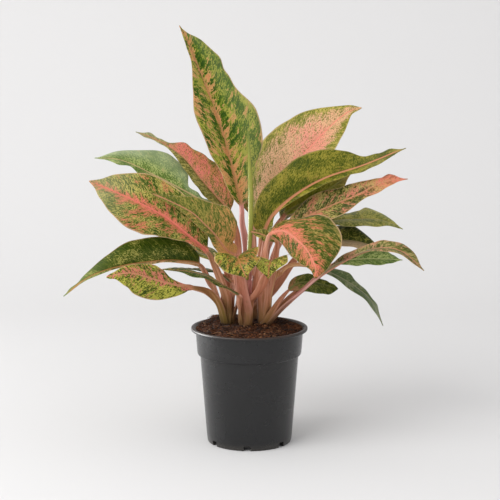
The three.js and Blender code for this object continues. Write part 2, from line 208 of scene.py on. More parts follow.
# Geometry Nodes trees: each starts from a base mesh and has a material and its sizes as named inputs
def newGrowth(name, sizes):
    inputs = {"base": shape, "material": substance, **sizes}
    return newTree(name, "GeometryNodeTree", inputs, {"grown": shape})


def grow(tree, kind, settings=None, **inputs):
    return Field(tree, addNode(tree, "GeometryNode" + kind, settings, **inputs).outputs[0])


def store(tree, geometry, **values):
    for name, value in values.items():
        geometry = grow(tree, "StoreNamedAttribute", {"data_type": "FLOAT"}, Geometry=geometry, Name=name,
                        Value=value)
    return geometry


def finishGrowth(tree, made, geometry, material):
    geometry = grow(tree, "SetShadeSmooth", Geometry=geometry)
    geometry = grow(tree, "RealizeInstances", Geometry=geometry)
    plug(tree, made.inputs[0], grow(tree, "SetMaterial", Geometry=geometry, Material=material))
    return tree


def growPiece(name, base, tree, material, sizes):
    # grows a mesh with a node tree and keeps the result as a plain mesh
    piece = bpy.data.objects.new(name, base)
    bpy.context.scene.collection.objects.link(piece)
    modifier = piece.modifiers.new("grow", "NODES")
    modifier.node_group = tree
    sockets = {s.name: s.identifier for s in tree.interface.items_tree if s.in_out == "INPUT"}
    for label, value in {"material": material, **sizes}.items():
        modifier[sockets[label]] = value
    keepResult(piece, modifier)
    piece.data.name = name
    return piece


def keepResult(piece, modifier):
    bpy.context.view_layer.update()
    evaluated = piece.evaluated_get(bpy.context.evaluated_depsgraph_get())
    result = bpy.data.meshes.new_from_object(evaluated)
    piece.modifiers.remove(modifier)
    piece.data = result


def newMaterial(name):
    material = bpy.data.materials.new(name)
    material.use_nodes = True
    return material, material.node_tree, material.node_tree.nodes["Principled BSDF"]


def objectPlace(tree):
    return Field(tree, addNode(tree, "ShaderNodeTexCoord").outputs["Object"])


def finishMaterial(material, skin, roughness, height, strength, depth, mirror=0.5):
    # height is a fine relief of the given strength and depth, and mirror is how strongly the skin reflects
    tree = material.node_tree
    surface = tree.nodes["Principled BSDF"]
    plug(tree, surface.inputs["Base Color"], skin)
    plug(tree, surface.inputs["Roughness"], roughness)
    surface.inputs["Specular IOR Level"].default_value = mirror
    bump = addNode(tree, "ShaderNodeBump", Strength=strength, Distance=depth, Height=height)
    plug(tree, surface.inputs["Normal"], bump.outputs[0])
    return material


def settle(piece, node):
    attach(piece, body)
    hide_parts(node)


# Camera, floor and light

studio = {
    "cameraPlace": (0.0007, -1.400, 0.420),
    "cameraTilt": 81.712,
    "lens": 92.07,
    "floorHalfWidth": 3.0,
    "floorFront": -3.0,
    "bendStart": 0.75,
    "bendRadius": 0.8,
    "bendSteps": 24,
    "wallTop": 3.2,
    "sensorWidth": 36,
    "paper": (219, 218, 217),
    "paperGrain": (220, 220, 220),
    "grainSize": 900,
    "grainShare": 0.03,
    "paperRoughness": 0.9,
    "paperMirror": 0.2,
    "room": (250, 250, 252),
    "roomLight": 0.88,
    # each lamp's place, disc size and power, and whether it is only seen mirrored in the plant
    "lamps": {
        "keyLight": ((-1.5, -1.25, 1.75), 2.3, 46, False),
        "fillLight": ((1.6, -1.2, 1.1), 1.6, 1, False),
        "sideLight": ((-1.05, 0.3, 0.35), 1.0, 40, True),
    },
}


def buildCamera():
    lens = bpy.data.cameras.new("camera")
    lens.lens = studio["lens"]
    lens.sensor_width = studio["sensorWidth"]
    view = bpy.data.objects.new("camera", lens)
    view.location = studio["cameraPlace"]
    view.rotation_euler = (math.radians(studio["cameraTilt"]), 0, 0)
    bpy.context.scene.collection.objects.link(view)
    bpy.context.scene.camera = view


def buildBackdrop():
    # a sheet of paper that runs back along the floor and bends up behind the plant
    wide, bend, steps = studio["floorHalfWidth"], studio["bendRadius"], studio["bendSteps"]
    profile = [(studio["floorFront"], 0), (studio["bendStart"], 0)]
    for i in range(1, steps + 1):
        turn = math.radians(90 * i / steps)
        profile.append((studio["bendStart"] + bend * math.sin(turn), bend - bend * math.cos(turn)))
    profile.append((studio["bendStart"] + bend, studio["wallTop"]))
    points = [(x, y, z) for y, z in profile for x in (-wide, wide)]
    faces = [(2 * i, 2 * i + 1, 2 * i + 3, 2 * i + 2) for i in range(len(profile) - 1)]
    sheet = bpy.data.meshes.new("backdrop")
    sheet.from_pydata(points, [], faces)
    sheet.shade_smooth()
    backdrop = bpy.data.objects.new("backdrop", sheet)
    bpy.context.scene.collection.objects.link(backdrop)
    material, tree, surface = newMaterial("backdropPaper")
    grain = noise(objectPlace(tree), studio["grainSize"]) * studio["grainShare"]
    paper = blend(grain, tint(*studio["paper"]), tint(*studio["paperGrain"]))
    plug(tree, surface.inputs["Base Color"], paper)
    surface.inputs["Roughness"].default_value = studio["paperRoughness"]
    surface.inputs["Specular IOR Level"].default_value = studio["paperMirror"]
    # the paper is clear from behind, so that the back of the plant can be looked at
    behind = Field(tree, addNode(tree, "ShaderNodeNewGeometry").outputs["Backfacing"])
    plug(tree, surface.inputs["Alpha"], 1.0 - behind)
    sheet.materials.append(material)


def buildLight():
    world = bpy.data.worlds.new("studio")
    world.use_nodes = True
    room = world.node_tree.nodes["Background"]
    room.inputs["Color"].default_value = tint(*studio["room"])
    room.inputs["Strength"].default_value = studio["roomLight"]
    bpy.context.scene.world = world
    middle = (cadBox[0] + cadBox[1]) / 2
    for name, (place, size, power, mirrored) in studio["lamps"].items():
        light = bpy.data.lights.new(name, "AREA")
        light.shape = "DISK"
        light.size = size
        light.energy = power
        lamp = bpy.data.objects.new(name, light)
        lamp.location = place
        lamp.rotation_euler = (middle - Vector(place)).to_track_quat("-Z", "Y").to_euler()
        lamp.visible_diffuse = not mirrored
        bpy.context.scene.collection.objects.link(lamp)
    bpy.context.scene.view_settings.view_transform = "Standard"


buildCamera()
buildBackdrop()
buildLight()
print("studio ready")


# Leaves. Points and half widths are in millimetres, as in the part's source: height and heading place
# the foot on its cane, stalk and midrib are the points that the petiole and the blade pass through, and
# faces are the directions that the upper surface looks in, from base to tip. The edges move out by the
# millimetres given at shares of the blade's length, and look changes the markings

canes = {
    "left": {"foot": (-23, 1, 127), "top": (-25, 2, 168)},
    "centre": {"foot": (-4, -13, 127), "top": (-3, -11, 184)},
    "right": {"foot": (15, -3, 127), "top": (16, -2, 170)},
    "back": {"foot": (2, 20, 127), "top": (4, 26, 180)},
}

# How a leaf is grown from its foot. Lengths are in metres. Side veins run forward by markSlope for each
# step outwards, the waves of the two sides are sideShift apart, foldCut degrees are taken off every
# fold, and a blade is fully open where it is openWidth wide
leafForm = {
    "caneRadius": 0.005,
    "gap": 0.0003,
    "soilHeight": 0.126,
    "runDepth": 0.0012,
    "runStations": 10,
    "stalkStations": 34,
    "bladeStations": 80,
    "markSlope": 0.75,
    "sideShift": 1.9,
    "foldCut": 7.5,
    "openWidth": 0.005,
}

# The blade's sizes, angles in degrees, unless a leaf below has its own
bladeForm = {
    "sectionSteps": 64,
    "leftHalfWidth": 0.03,
    "rightHalfWidth": 0.03,
    "widest": 0.95,
    "baseBluntness": 0.75,
    "tipBluntness": 1.5,
    "foldBase": 20.0,
    "foldTip": 10.0,
    "leftTuck": 0.0,
    "rightTuck": 0.0,
    "edgeCurl": 16.0,
    "edgeWave": 0.0012,
    "waves": 3.0,
    "waveShift": 0.0,
    "halfThickness": 0.00035,
    "stalkRadius": 0.0025,
    "ribTipRadius": 0.0005,
    "footHalfWidth": 0.0062,
    "footDepth": 0.0024,
    "sheathWrap": 62.0,
    "veinSpacing": 0.0075,
    "veinRelief": 0.00022,
}

paleStalk = {"stalk": (222, 166, 136), "stalkFoot": (186, 140, 104)}

leaves = {
    "large_left_leaf": dict(
        cane="left", height=24, heading=262, slot="leaf_pink",
        stalk=[(-26, -14, 167), (-36, -20, 197)],
        midrib=[(-46, -26, 218), (-65, -34, 236), (-91, -40, 258), (-127, -46, 278), (-170, -48, 297)],
        faces=[(-0.1, -0.85, 0.5), (-0.1, -0.8, 0.6), (0, -0.7, 0.7)],
        halfWidths=(29, 34), fold=(18, 12), outline=(1.1, 0.9, 1),
        leftEdge=[(0.08, -2), (0.18, -6.5), (0.29, -4.5), (0.38, -1.5), (0.53, 4.5), (0.67, 8), (0.78, 7.5),
            (0.88, 4), (0.96, 0)],
        rightEdge=[(0.03, 7), (0.09, 10), (0.18, 8), (0.3, 2), (0.7, 2.5), (0.85, 3), (0.94, -0.5)],
        look=dict(deepGreen=(42, 68, 8), leafGreen=(114, 120, 40), limeGreen=(190, 174, 92),
            blushPink=(224, 116, 102), paleBlush=(200, 120, 84), rib=(220, 118, 102), stalk=(176, 124, 90),
            stalkFoot=(122, 104, 48), lime=0.02, streaks=0.7, ribWidth=1.05, tipStart=0.6, blush=-0.1,
            blushRib=0.36, blushReach=5.4, blushLeft=0.06, blushBase=-0.12, blushTip=-0.22, specks=0.75,
            wash=(178, 172, 134), washTip=0.35)),
    "left_pale_leaf": dict(
        cane="left", height=34, heading=110,
        stalk=[(-24, 16, 180), (-26, 22, 224)],
        midrib=[(-41, 26, 260), (-57, 32, 269), (-74, 38, 278), (-108, 46, 295), (-145, 52, 311),
            (-176, 54, 314)],
        faces=[(-0.2, -0.5, 0.8), (-0.1, -0.5, 0.8), (0, -0.3, 1)],
        halfWidths=(23, 33), fold=(22, 8), outline=(0.95, 1, 1.2),
        leftEdge=[(0.62, -9), (0.7, -11), (0.81, 0), (0.92, -1)],
        rightEdge=[(0.15, -10), (0.25, -17), (0.33, -5), (0.42, 0.5), (0.55, 4.5), (0.65, 6), (0.85, 7.5),
            (0.94, 5)],
        look=dict(deepGreen=(66, 92, 28), leafGreen=(110, 130, 56), limeGreen=(168, 176, 104),
            paleBlush=(180, 148, 102), rib=(184, 156, 112), edge=(166, 178, 138), lime=-0.02, streaks=0.6,
            coral=-0.4, blush=-0.24, wash=(172, 184, 148), washTip=0.14, washRight=0.4)),
    "left_pink_leaf": dict(
        cane="left", height=36, heading=35, slot="leaf_pink",
        stalk=[(-13, 12, 194), (-14, 22, 230)],
        midrib=[(-23, 28, 256), (-36, 34, 270), (-56, 44, 292), (-75, 54, 314), (-102, 62, 332),
            (-130, 66, 343)],
        faces=[(0.5, -0.75, 0.3), (0.4, -0.8, 0.35), (0, -0.6, 0.7)],
        halfWidths=(17, 22), fold=(32, 10), outline=(0.8, 0.7, 2.2),
        leftEdge=[(0.19, 3), (0.3, -1), (0.44, -6), (0.58, -6), (0.71, -6), (0.82, -1.5), (0.93, 2.5)],
        rightEdge=[(0.03, 8), (0.09, 11), (0.18, 8), (0.28, 3), (0.37, 5), (0.47, 0), (0.56, -4), (0.64, 0),
            (0.73, -5), (0.81, -2), (0.9, 4.5), (0.96, 2.5)],
        look=dict(deepGreen=(66, 72, 18), leafGreen=(140, 130, 64), limeGreen=(176, 160, 90),
            blushPink=(216, 114, 104), paleBlush=(180, 122, 76), rib=(176, 120, 86), edge=(132, 116, 66),
            streaks=0.5, coral=-0.02, patches=0.9, tipStart=0.62, blush=0.06, blushLeft=-0.24,
            blushRight=0.28, blushBase=-0.28, blushTip=-1.3, blushMargin=-0.12, paleness=0.1, specks=1.0,
            wash=(160, 168, 136), washTip=0.4)),
    "left_dark_leaf": dict(
        cane="left", height=15, heading=188,
        stalk=[(-34, -6, 161), (-46, -12, 187)],
        midrib=[(-55, -17, 202), (-74, -26, 207), (-96, -36, 209), (-135, -50, 206), (-169, -60, 196),
            (-197, -66, 176)],
        faces=[(0, -0.6, 0.8)],
        halfWidths=(19, 28), fold=(45, 36), outline=(0.72, 0.6, 1.5),
        leftEdge=[(0.06, 3.5), (0.18, 0), (0.32, -7), (0.46, -10), (0.6, -7), (0.8, -2.5)],
        rightEdge=[(0.04, 3), (0.1, 4), (0.2, 2.5), (0.3, 1), (0.45, -2), (0.63, -4.5), (0.75, -5.5),
            (0.85, -4), (0.95, 1)],
        look=dict(deepGreen=(38, 58, 2), leafGreen=(82, 94, 20), limeGreen=(170, 162, 84),
            blushPink=(196, 134, 92), paleBlush=(192, 150, 108), rib=(190, 132, 84), edge=(160, 130, 74),
            stalk=(172, 120, 88), stalkFoot=(118, 100, 46), lime=-0.15, streaks=0.6, patches=1.5,
            blush=-0.6, blushLeft=0.9, blushTip=-0.7, wash=(150, 168, 104), washTip=0.5)),
    "low_left_leaf": dict(
        cane="left", height=6, heading=225,
        stalk=[(-34, -14, 158), (-45, -24, 173)],
        midrib=[(-61, -42, 181), (-78, -54, 186), (-100, -66, 194), (-125, -78, 203), (-149, -86, 200)],
        faces=[(0.1, -0.9, 0.4), (0.1, -0.95, 0.3), (0, -0.9, 0.4)],
        halfWidths=(20, 15), fold=(8, 5), outline=(1.05, 1, 0.9),
        leftEdge=[(0.11, 1), (0.23, 1), (0.4, 2), (0.7, 3), (0.83, 2.5), (0.93, -2)],
        rightEdge=[(0.13, -3.5), (0.28, -4.5), (0.41, -1.5), (0.5, 0), (0.76, -2.5), (0.88, -1.5)],
        look=dict(deepGreen=(50, 66, 8), leafGreen=(106, 112, 34), limeGreen=(184, 178, 74),
            blushPink=(212, 108, 104), paleBlush=(194, 122, 94), stalk=(168, 124, 78),
            stalkFoot=(116, 98, 44), lime=0.08, streaks=1.1, blush=-0.2, blushRib=0.3, blushReach=5.0,
            blushRight=0.12, blushTip=-0.12, specks=0.9)),
    "left_narrow_leaf": dict(
        cane="left", height=16, heading=0,
        stalk=[(-13, 2, 164)],
        midrib=[(-19, 4, 179), (-39, 9, 191), (-66, 12, 193), (-89, 14, 193), (-114, 16, 189)],
        faces=[(0, 0.05, 1)],
        halfWidths=(11, 11), fold=(4, 0),
        look=dict(deepGreen=(40, 58, 16), leafGreen=(72, 88, 36), edge=(116, 118, 72), stalk=(176, 122, 90),
            lime=-0.1, blush=-0.5)),
    "tall_leaf": dict(
        cane="centre", height=48, heading=90,
        stalk=[(-3, -2, 216), (-8, 4, 245)],
        midrib=[(-9, 8, 265), (-18, 12, 301), (-28, 15, 340), (-40, 16, 376), (-54, 15, 411),
            (-65, 12, 439), (-76, 8, 461)],
        faces=[(0.6, -0.8, 0.1), (0.6, -0.8, 0.1), (0.8, -0.6, 0.1)],
        halfWidths=(36, 41), fold=(28, 22), outline=(0.85, 0.62, 1.35),
        leftEdge=[(0.1, -1.5), (0.2, -5.5), (0.32, -0.5), (0.55, 2.5), (0.67, -2), (0.8, -5.5), (0.9, 0),
            (0.95, 2)],
        rightEdge=[(0.1, -4), (0.18, -1.5), (0.3, 4), (0.45, 5), (0.6, -5), (0.68, -2), (0.78, 8),
            (0.87, 7.5), (0.95, 2.5)],
        look=dict(deepGreen=(40, 72, 0), leafGreen=(96, 126, 10), limeGreen=(168, 162, 66),
            blushPink=(206, 130, 86), paleBlush=(204, 154, 96), rib=(190, 138, 92), stalk=(206, 138, 128),
            stalkEdge=(230, 176, 166), lime=0.02, streaks=1.2, coral=-0.05, patches=1.5, blush=-0.14,
            blushRib=0.34, blushReach=5.2, blushLeft=0.08, blushRight=-0.05, blushBase=0.08, blushTip=-0.12,
            wash=(172, 180, 126), washRight=0.16)),
    "inner_left_leaf": dict(
        cane="centre", height=30, heading=150,
        stalk=[(-14, -12, 184), (-14, -16, 202)],
        midrib=[(-16, -21, 213), (-25, -28, 220), (-37, -33, 237), (-49, -37, 250), (-63, -40, 263),
            (-89, -45, 277), (-107, -48, 285)],
        faces=[(0.35, -0.8, 0.35), (0.25, -0.75, 0.5), (0.1, -0.65, 0.7)],
        halfWidths=(9, 26), fold=(25, 10), outline=(0.7, 0.6, 1.3),
        leftEdge=[(0.03, 4), (0.1, 6), (0.2, 3), (0.35, 0)],
        rightEdge=[(0.04, -4), (0.1, -5), (0.17, -2), (0.26, 4), (0.36, 7), (0.46, 2), (0.55, -3),
            (0.75, -3)],
        look=dict(deepGreen=(62, 80, 22), leafGreen=(122, 116, 48), limeGreen=(150, 138, 66),
            blushPink=(196, 130, 78), paleBlush=(190, 140, 82), rib=(190, 130, 98), edge=(176, 146, 100),
            lime=-0.05, streaks=0.45, blush=-0.3, blushBase=0.62, softness=0.6)),
    "front_pointing_leaf": dict(
        cane="centre", height=26, heading=-110,
        stalk=[(-9, -32, 179), (-11, -42, 203)],
        midrib=[(-13, -50, 214), (-12, -64, 216), (-9, -78, 211), (-3, -86, 199)],
        faces=[(-0.1, -0.3, 1), (-0.1, -0.6, 0.8), (0, -1, 0.1)],
        halfWidths=(26, 26), fold=(32, 5), outline=(0.75, 0.6, 1.2), stalkRadius=0.0038,
        footHalfWidth=0.0085,
        leftEdge=[(0.13, 6), (0.22, 1), (0.55, -5), (0.72, 5)],
        rightEdge=[(0.15, 6), (0.27, 0)],
        # painted shade: dark makes this whole leaf darker, for the shade on its right lobe
        look=dict(deepGreen=(46, 60, 4), leafGreen=(96, 98, 26), limeGreen=(178, 170, 72),
            blushPink=(160, 94, 58), paleBlush=(164, 112, 58), rib=(172, 118, 72), stalk=(190, 122, 98),
            stalkEdge=(214, 152, 134), lime=0.02, streaks=0.6, blush=-0.1, blushLeft=0.1, dark=0.08)),
    "front_curled_leaf": dict(
        cane="centre", height=34, heading=-40,
        stalk=[(12, -24, 175), (20, -32, 197)],
        midrib=[(24, -38, 206), (23, -50, 211), (21, -60, 207), (20, -66, 195)],
        faces=[(-0.1, -0.4, 0.9), (-0.1, -0.7, 0.7), (0, -1, 0.1)],
        halfWidths=(18, 18), fold=(35, 0), outline=(0.75, 0.6, 1.2), stalkRadius=0.0034,
        footHalfWidth=0.008,
        leftEdge=[(0.15, 7), (0.25, 0.5), (0.55, 2), (0.72, -2)],
        rightEdge=[(0.65, 1), (0.75, 1.5)],
        look=dict(deepGreen=(66, 66, 12), leafGreen=(112, 112, 36), limeGreen=(190, 190, 80),
            blushPink=(190, 112, 68), paleBlush=(186, 140, 80), rib=(184, 120, 74), stalk=(192, 122, 92),
            stalkEdge=(214, 156, 128), lime=0.06, streaks=0.6, blush=-0.12, blushRight=-0.02)),
    "upper_right_green_leaf": dict(
        cane="centre", height=42, heading=55,
        stalk=[(8, -6, 172), (12, -2, 207)],
        midrib=[(17, 2, 233), (27, 6, 254), (52, 12, 276), (85, 18, 294), (128, 22, 308), (174, 24, 327)],
        faces=[(-0.6, -0.8, 0.2), (-0.4, -0.8, 0.5), (-0.2, -0.7, 0.8), (0, -0.5, 1)],
        halfWidths=(34, 34), fold=(38, 25), outline=(0.7, 0.55, 1.5),
        leftEdge=[(0.05, -1), (0.13, -1), (0.3, -2), (0.42, 2), (0.55, 2), (0.67, 1.5), (0.76, -4),
            (0.84, -0.5), (0.93, 5)],
        rightEdge=[(0.05, -10), (0.15, -25), (0.28, -26), (0.45, -20), (0.62, -15), (0.73, -2), (0.83, 4),
            (0.92, 3)],
        look=dict(deepGreen=(48, 62, 0), leafGreen=(92, 96, 14), limeGreen=(150, 138, 50),
            paleBlush=(156, 118, 62), rib=(206, 140, 106), edge=(150, 134, 72), lime=-0.02, streaks=0.35,
            ribWidth=1.7, coral=-0.4, patches=1.1, blush=-0.3, softness=0.9, wash=(160, 150, 106),
            washTip=0.12)),
    "low_left_edge_leaf": dict(
        cane="centre", height=10, heading=-165,
        stalk=[(-11, -28, 162)],
        midrib=[(-12, -36, 173), (-29, -42, 184), (-48, -46, 195), (-69, -48, 200), (-90, -50, 202)],
        faces=[(0, -0.1, 1)],
        halfWidths=(13, 13), fold=(4, 0),
        look=dict(deepGreen=(42, 60, 14), leafGreen=(78, 90, 38), edge=(112, 116, 66), lime=-0.1,
            blush=-0.5, wash=(170, 150, 110))),
    "upper_right_pink_leaf": dict(
        cane="right", height=38, heading=120, slot="leaf_pink",
        stalk=[(13, 16, 191), (14, 30, 223)],
        midrib=[(15, 40, 249), (31, 52, 278), (57, 62, 311), (88, 70, 344), (112, 76, 364), (129, 76, 370)],
        faces=[(-0.5, -0.75, 0.4), (-0.55, -0.7, 0.45), (-0.4, -0.8, 0.5)],
        halfWidths=(49, 34), fold=(20, 10), outline=(1, 0.6, 1.1),
        leftEdge=[(0.4, 7.5), (0.52, 6), (0.65, 3), (0.9, -2)],
        rightEdge=[(0.64, 1), (0.75, -1), (0.92, -2.5)],
        look=dict(deepGreen=(84, 94, 20), leafGreen=(138, 130, 52), limeGreen=(192, 174, 86),
            blushPink=(220, 132, 118), paleBlush=(214, 164, 126), rib=(218, 130, 112), edge=(186, 164, 112),
            streaks=0.4, coral=-0.26, coralMiddle=0.3, patches=0.5, tipStart=0.55, blush=0.2, blushRib=0.2,
            blushReach=12.0, blushBase=-0.04, blushTip=-0.3, blushMargin=-0.34, paleness=0.2, specks=1.0,
            softness=0.4)),
    "right_middle_leaf": dict(
        cane="right", height=30, heading=55,
        stalk=[(22, 8, 187), (29, 8, 213)],
        midrib=[(37, 9, 232), (57, 12, 248), (87, 14, 262), (118, 14, 275), (149, 12, 290), (175, 10, 294)],
        faces=[(-0.3, -0.8, 0.5), (-0.1, -0.8, 0.6), (0.1, -0.6, 0.8)],
        halfWidths=(26, 17), fold=(18, 10), outline=(0.75, 0.7, 1.3),
        leftEdge=[(0.03, -5), (0.08, -9), (0.15, -8), (0.3, -5), (0.5, -8), (0.6, -5), (0.72, -4.5),
            (0.81, -2.5), (0.88, 4.5)],
        rightEdge=[(0.02, -4), (0.1, -3), (0.3, 1), (0.48, -0.5), (0.64, -3), (0.8, 3), (0.88, 3.5),
            (0.95, 1)],
        look=dict(deepGreen=(44, 58, 8), leafGreen=(98, 94, 32), limeGreen=(184, 168, 96),
            blushPink=(214, 120, 106), paleBlush=(192, 126, 92), rib=(190, 132, 98), lime=0.04, streaks=0.5,
            patches=1.1, blush=-0.08, blushRib=0.08, blushRight=0.06, blushBase=-0.14, specks=0.6,
            wash=(220, 112, 98), washTip=0.42)),
    "front_drooping_leaf": dict(
        cane="right", height=34, heading=-105, slot="leaf_pink",
        stalk=[(17, -18, 197), (18, -25, 222)],
        midrib=[(23, -30, 238), (37, -37, 242), (51, -50, 234), (62, -60, 223), (69, -69, 209),
            (70, -72, 196)],
        faces=[(-0.3, -0.4, 0.9), (0.1, -0.7, 0.7), (0.3, -0.9, 0.2)],
        halfWidths=(42, 26), fold=(10, 5), tuck=(0, -50), outline=(0.9, 0.8, 1),
        leftEdge=[(0.2, -6), (0.31, 5), (0.4, 7), (0.5, 7), (0.6, 7), (0.7, 6), (0.86, 1)],
        rightEdge=[(0.39, -9), (0.55, -7), (0.73, -5)],
        look=dict(deepGreen=(50, 68, 8), leafGreen=(98, 98, 30), limeGreen=(174, 148, 80),
            blushPink=(224, 114, 98), paleBlush=(174, 116, 70), rib=(210, 126, 102), lime=-0.03,
            streaks=1.1, blush=-0.17, blushRib=0.34, blushReach=9.5, blushLeft=0.02, blushRight=0.04,
            blushBase=0.08, blushMargin=-0.14, specks=0.9)),
    "front_small_leaf": dict(
        cane="right", height=26, heading=-45,
        stalk=[(24, -9, 184), (29, -12, 211)],
        midrib=[(30, -11, 227), (20, -12, 232), (11, -14, 236), (0, -17, 239)],
        faces=[(0, -0.8, 0.6)],
        halfWidths=(7, 7), fold=(20, 10),
        look=dict(deepGreen=(66, 74, 20), leafGreen=(128, 114, 52), lime=-0.04, blush=-0.5)),
    "right_arching_leaf": dict(
        cane="right", height=6, heading=-25,
        stalk=[(38, -12, 155), (58, -18, 174)],
        midrib=[(76, -24, 191), (104, -34, 210), (134, -42, 223), (161, -50, 222), (186, -56, 202)],
        faces=[(-0.2, -0.3, 1), (0, -0.4, 0.9), (0.4, -0.5, 0.8)],
        halfWidths=(15, 15), fold=(50, 15), outline=(1.1, 0.8, 1.2),
        leftEdge=[(0.2, -3), (0.35, -5), (0.52, -7), (0.62, -4), (0.76, 1), (0.86, 2.5)],
        rightEdge=[(0.2, -2), (0.36, -9), (0.5, 0.5), (0.6, -2), (0.75, 1), (0.85, 1.5)],
        look=dict(deepGreen=(64, 72, 20), leafGreen=(112, 110, 48), limeGreen=(168, 152, 96),
            blushPink=(172, 106, 88), paleBlush=(182, 138, 102), rib=(196, 130, 106), stalk=(186, 122, 110),
            stalkEdge=(226, 178, 166), stalkCrease=(116, 66, 50), streaks=0.5, blush=-0.12, blushBase=0.2,
            blushMargin=0.12, specks=0.6)),
    "right_under_leaf": dict(
        cane="right", height=6, heading=35,
        stalk=[(40, 8, 153), (61, 14, 171)],
        midrib=[(97, 22, 197), (119, 27, 201), (146, 32, 201), (174, 38, 199)],
        faces=[(0, -0.5, 0.9)],
        halfWidths=(16, 16), fold=(15, 5), stalkRadius=0.0026, footHalfWidth=0.007, edgeWave=0.0004,
        leftEdge=[(0.4, 2), (0.6, 8), (0.78, 11), (0.9, 6)],
        rightEdge=[(0.09, 2), (0.25, 0), (0.47, -5), (0.71, -1.5), (0.85, 1)],
        look=dict(deepGreen=(60, 84, 28), leafGreen=(104, 122, 52), limeGreen=(156, 164, 98),
            rib=(156, 158, 104), edge=(164, 168, 120), lime=-0.02, blush=-0.6)),
    "low_right_leaf": dict(
        cane="right", height=6, heading=-80,
        stalk=[(26, -11, 149), (35, -5, 162)],
        midrib=[(44, 0, 171), (55, 3, 178), (69, 5, 179), (83, 6, 176), (99, 8, 171)],
        faces=[(0, -0.7, 0.7)],
        halfWidths=(13, 17), fold=(20, 10), outline=(0.9, 0.7, 0.8), stalkRadius=0.0015,
        footHalfWidth=0.0055, edgeWave=0.0005,
        leftEdge=[(0.4, -2), (0.6, -5), (0.8, -3), (0.94, 0.5)],
        rightEdge=[(0.5, -1.5), (0.7, 0), (0.85, 2.5), (0.95, 1.5)],
        look=dict(deepGreen=(52, 68, 20), leafGreen=(96, 102, 46), limeGreen=(146, 142, 66),
            blushPink=(150, 104, 68), paleBlush=(150, 116, 76), rib=(120, 122, 66), edge=(110, 112, 56),
            lime=-0.1, blush=-0.7, blushBase=1.1)),
    "low_drooping_leaf": dict(
        cane="right", height=15, heading=12,
        stalk=[(25, -3, 172), (31, -3, 188), (44, -3, 199)],
        midrib=[(64, 0, 199), (90, 2, 190), (117, 0, 175), (136, 0, 158), (149, -2, 131)],
        faces=[(0.2, -0.3, 1), (0.5, -0.4, 0.8), (0.9, -0.4, 0.3)],
        halfWidths=(16, 16), fold=(15, 10), outline=(1.1, 0.8, 1.3),
        leftEdge=[(0.3, 2), (0.4, 1), (0.5, -5), (0.6, -5), (0.71, -9), (0.82, -1.5)],
        rightEdge=[(0.34, -2), (0.5, -3.5), (0.66, -1.5), (0.83, -1)],
        # painted sheen: the greyed greens and the pale tip stand in for light reflected off this leaf
        look=dict(deepGreen=(60, 78, 40), leafGreen=(96, 108, 62), limeGreen=(140, 138, 104),
            rib=(138, 134, 104), edge=(150, 148, 118), stalk=(192, 138, 92), stalkEdge=(212, 168, 124),
            lime=-0.1, blush=-0.6, wash=(150, 158, 134), washTip=0.4)),
    "right_shaded_leaf": dict(
        cane="back", height=38, heading=40,
        stalk=[(17, 36, 190), (23, 41, 222)],
        midrib=[(41, 46, 250), (63, 52, 264), (92, 58, 279), (118, 62, 297)],
        faces=[(-0.2, -0.7, 0.7)],
        halfWidths=(24, 24), fold=(25, 10),
        # painted light: these greens are lighter than the leaf's own, to make up for the shade the leaf lies
        # in
        look=dict(deepGreen=(96, 108, 26), leafGreen=(160, 158, 52), rib=(160, 158, 90), lime=-0.1,
            blush=-0.6, wash=(180, 130, 100), washTip=0.3)),
    "right_far_leaf": dict(
        cane="back", height=30, heading=0,
        stalk=[(23, 34, 186), (38, 44, 222)],
        midrib=[(67, 54, 236), (95, 62, 241), (125, 70, 242), (154, 76, 240), (179, 80, 229)],
        faces=[(0, -0.35, 1)],
        halfWidths=(24, 24), fold=(14, 5), outline=(1.1, 0.9, 1.2), stalkRadius=0.0026, footHalfWidth=0.007,
        leftEdge=[(0.3, -13), (0.45, -6), (0.57, -3), (0.68, 8), (0.78, 8), (0.88, 4.5)],
        rightEdge=[(0.5, -2), (0.74, -2)],
        look=dict(deepGreen=(72, 88, 16), leafGreen=(124, 128, 42), limeGreen=(186, 176, 90),
            paleBlush=(178, 142, 92), rib=(156, 142, 82), edge=(170, 160, 110), underside=(112, 124, 52),
            lime=0.04, streaks=0.5, coral=-0.4, blush=-0.24)),
    "right_dark_leaf": dict(
        cane="back", height=18, heading=-70,
        stalk=[(30, 24, 171), (53, 38, 201)],
        midrib=[(75, 48, 215), (100, 54, 219), (128, 60, 216), (156, 64, 205)],
        faces=[(0, -0.5, 0.9)],
        halfWidths=(20, 20), fold=(25, 10),
        leftEdge=[(0.1, 3), (0.3, 5), (0.5, 6), (0.7, 4)],
        rightEdge=[(0.3, -4), (0.5, -2)],
        look=dict(deepGreen=(40, 54, 12), leafGreen=(74, 80, 30), blushPink=(186, 154, 118),
            paleBlush=(190, 166, 130), rib=(160, 140, 100), lime=-0.12, blush=-0.6, blushRight=1.2)),
    "back_upright_leaf": dict(
        cane="back", height=46, heading=100,
        stalk=[(4, 46, 209)],
        midrib=[(3, 60, 248), (-4, 78, 287), (-15, 98, 326), (-29, 122, 360)],
        faces=[(0, -0.8, 0.5)],
        halfWidths=(28, 28), fold=(25, 10),
        look=dict(paleStalk, blush=-0.1, blushRib=0.2)),
    "back_left_leaf": dict(
        cane="back", height=32, heading=150,
        stalk=[(-15, 46, 195)],
        midrib=[(-32, 62, 233), (-58, 84, 249), (-91, 104, 261), (-131, 122, 259)],
        faces=[(0, 0, 1)],
        halfWidths=(28, 28), fold=(20, 10),
        look=dict(paleStalk, blush=-0.02, blushRib=0.2)),
    "back_right_leaf": dict(
        cane="back", height=30, heading=80,
        stalk=[(14, 50, 195)],
        midrib=[(38, 66, 239), (59, 86, 258), (83, 104, 264), (106, 122, 259)],
        faces=[(0, 0, 1)],
        halfWidths=(26, 26), fold=(20, 10),
        look=dict(paleStalk, lime=0.03, blush=-0.14)),
    "back_low_left_leaf": dict(
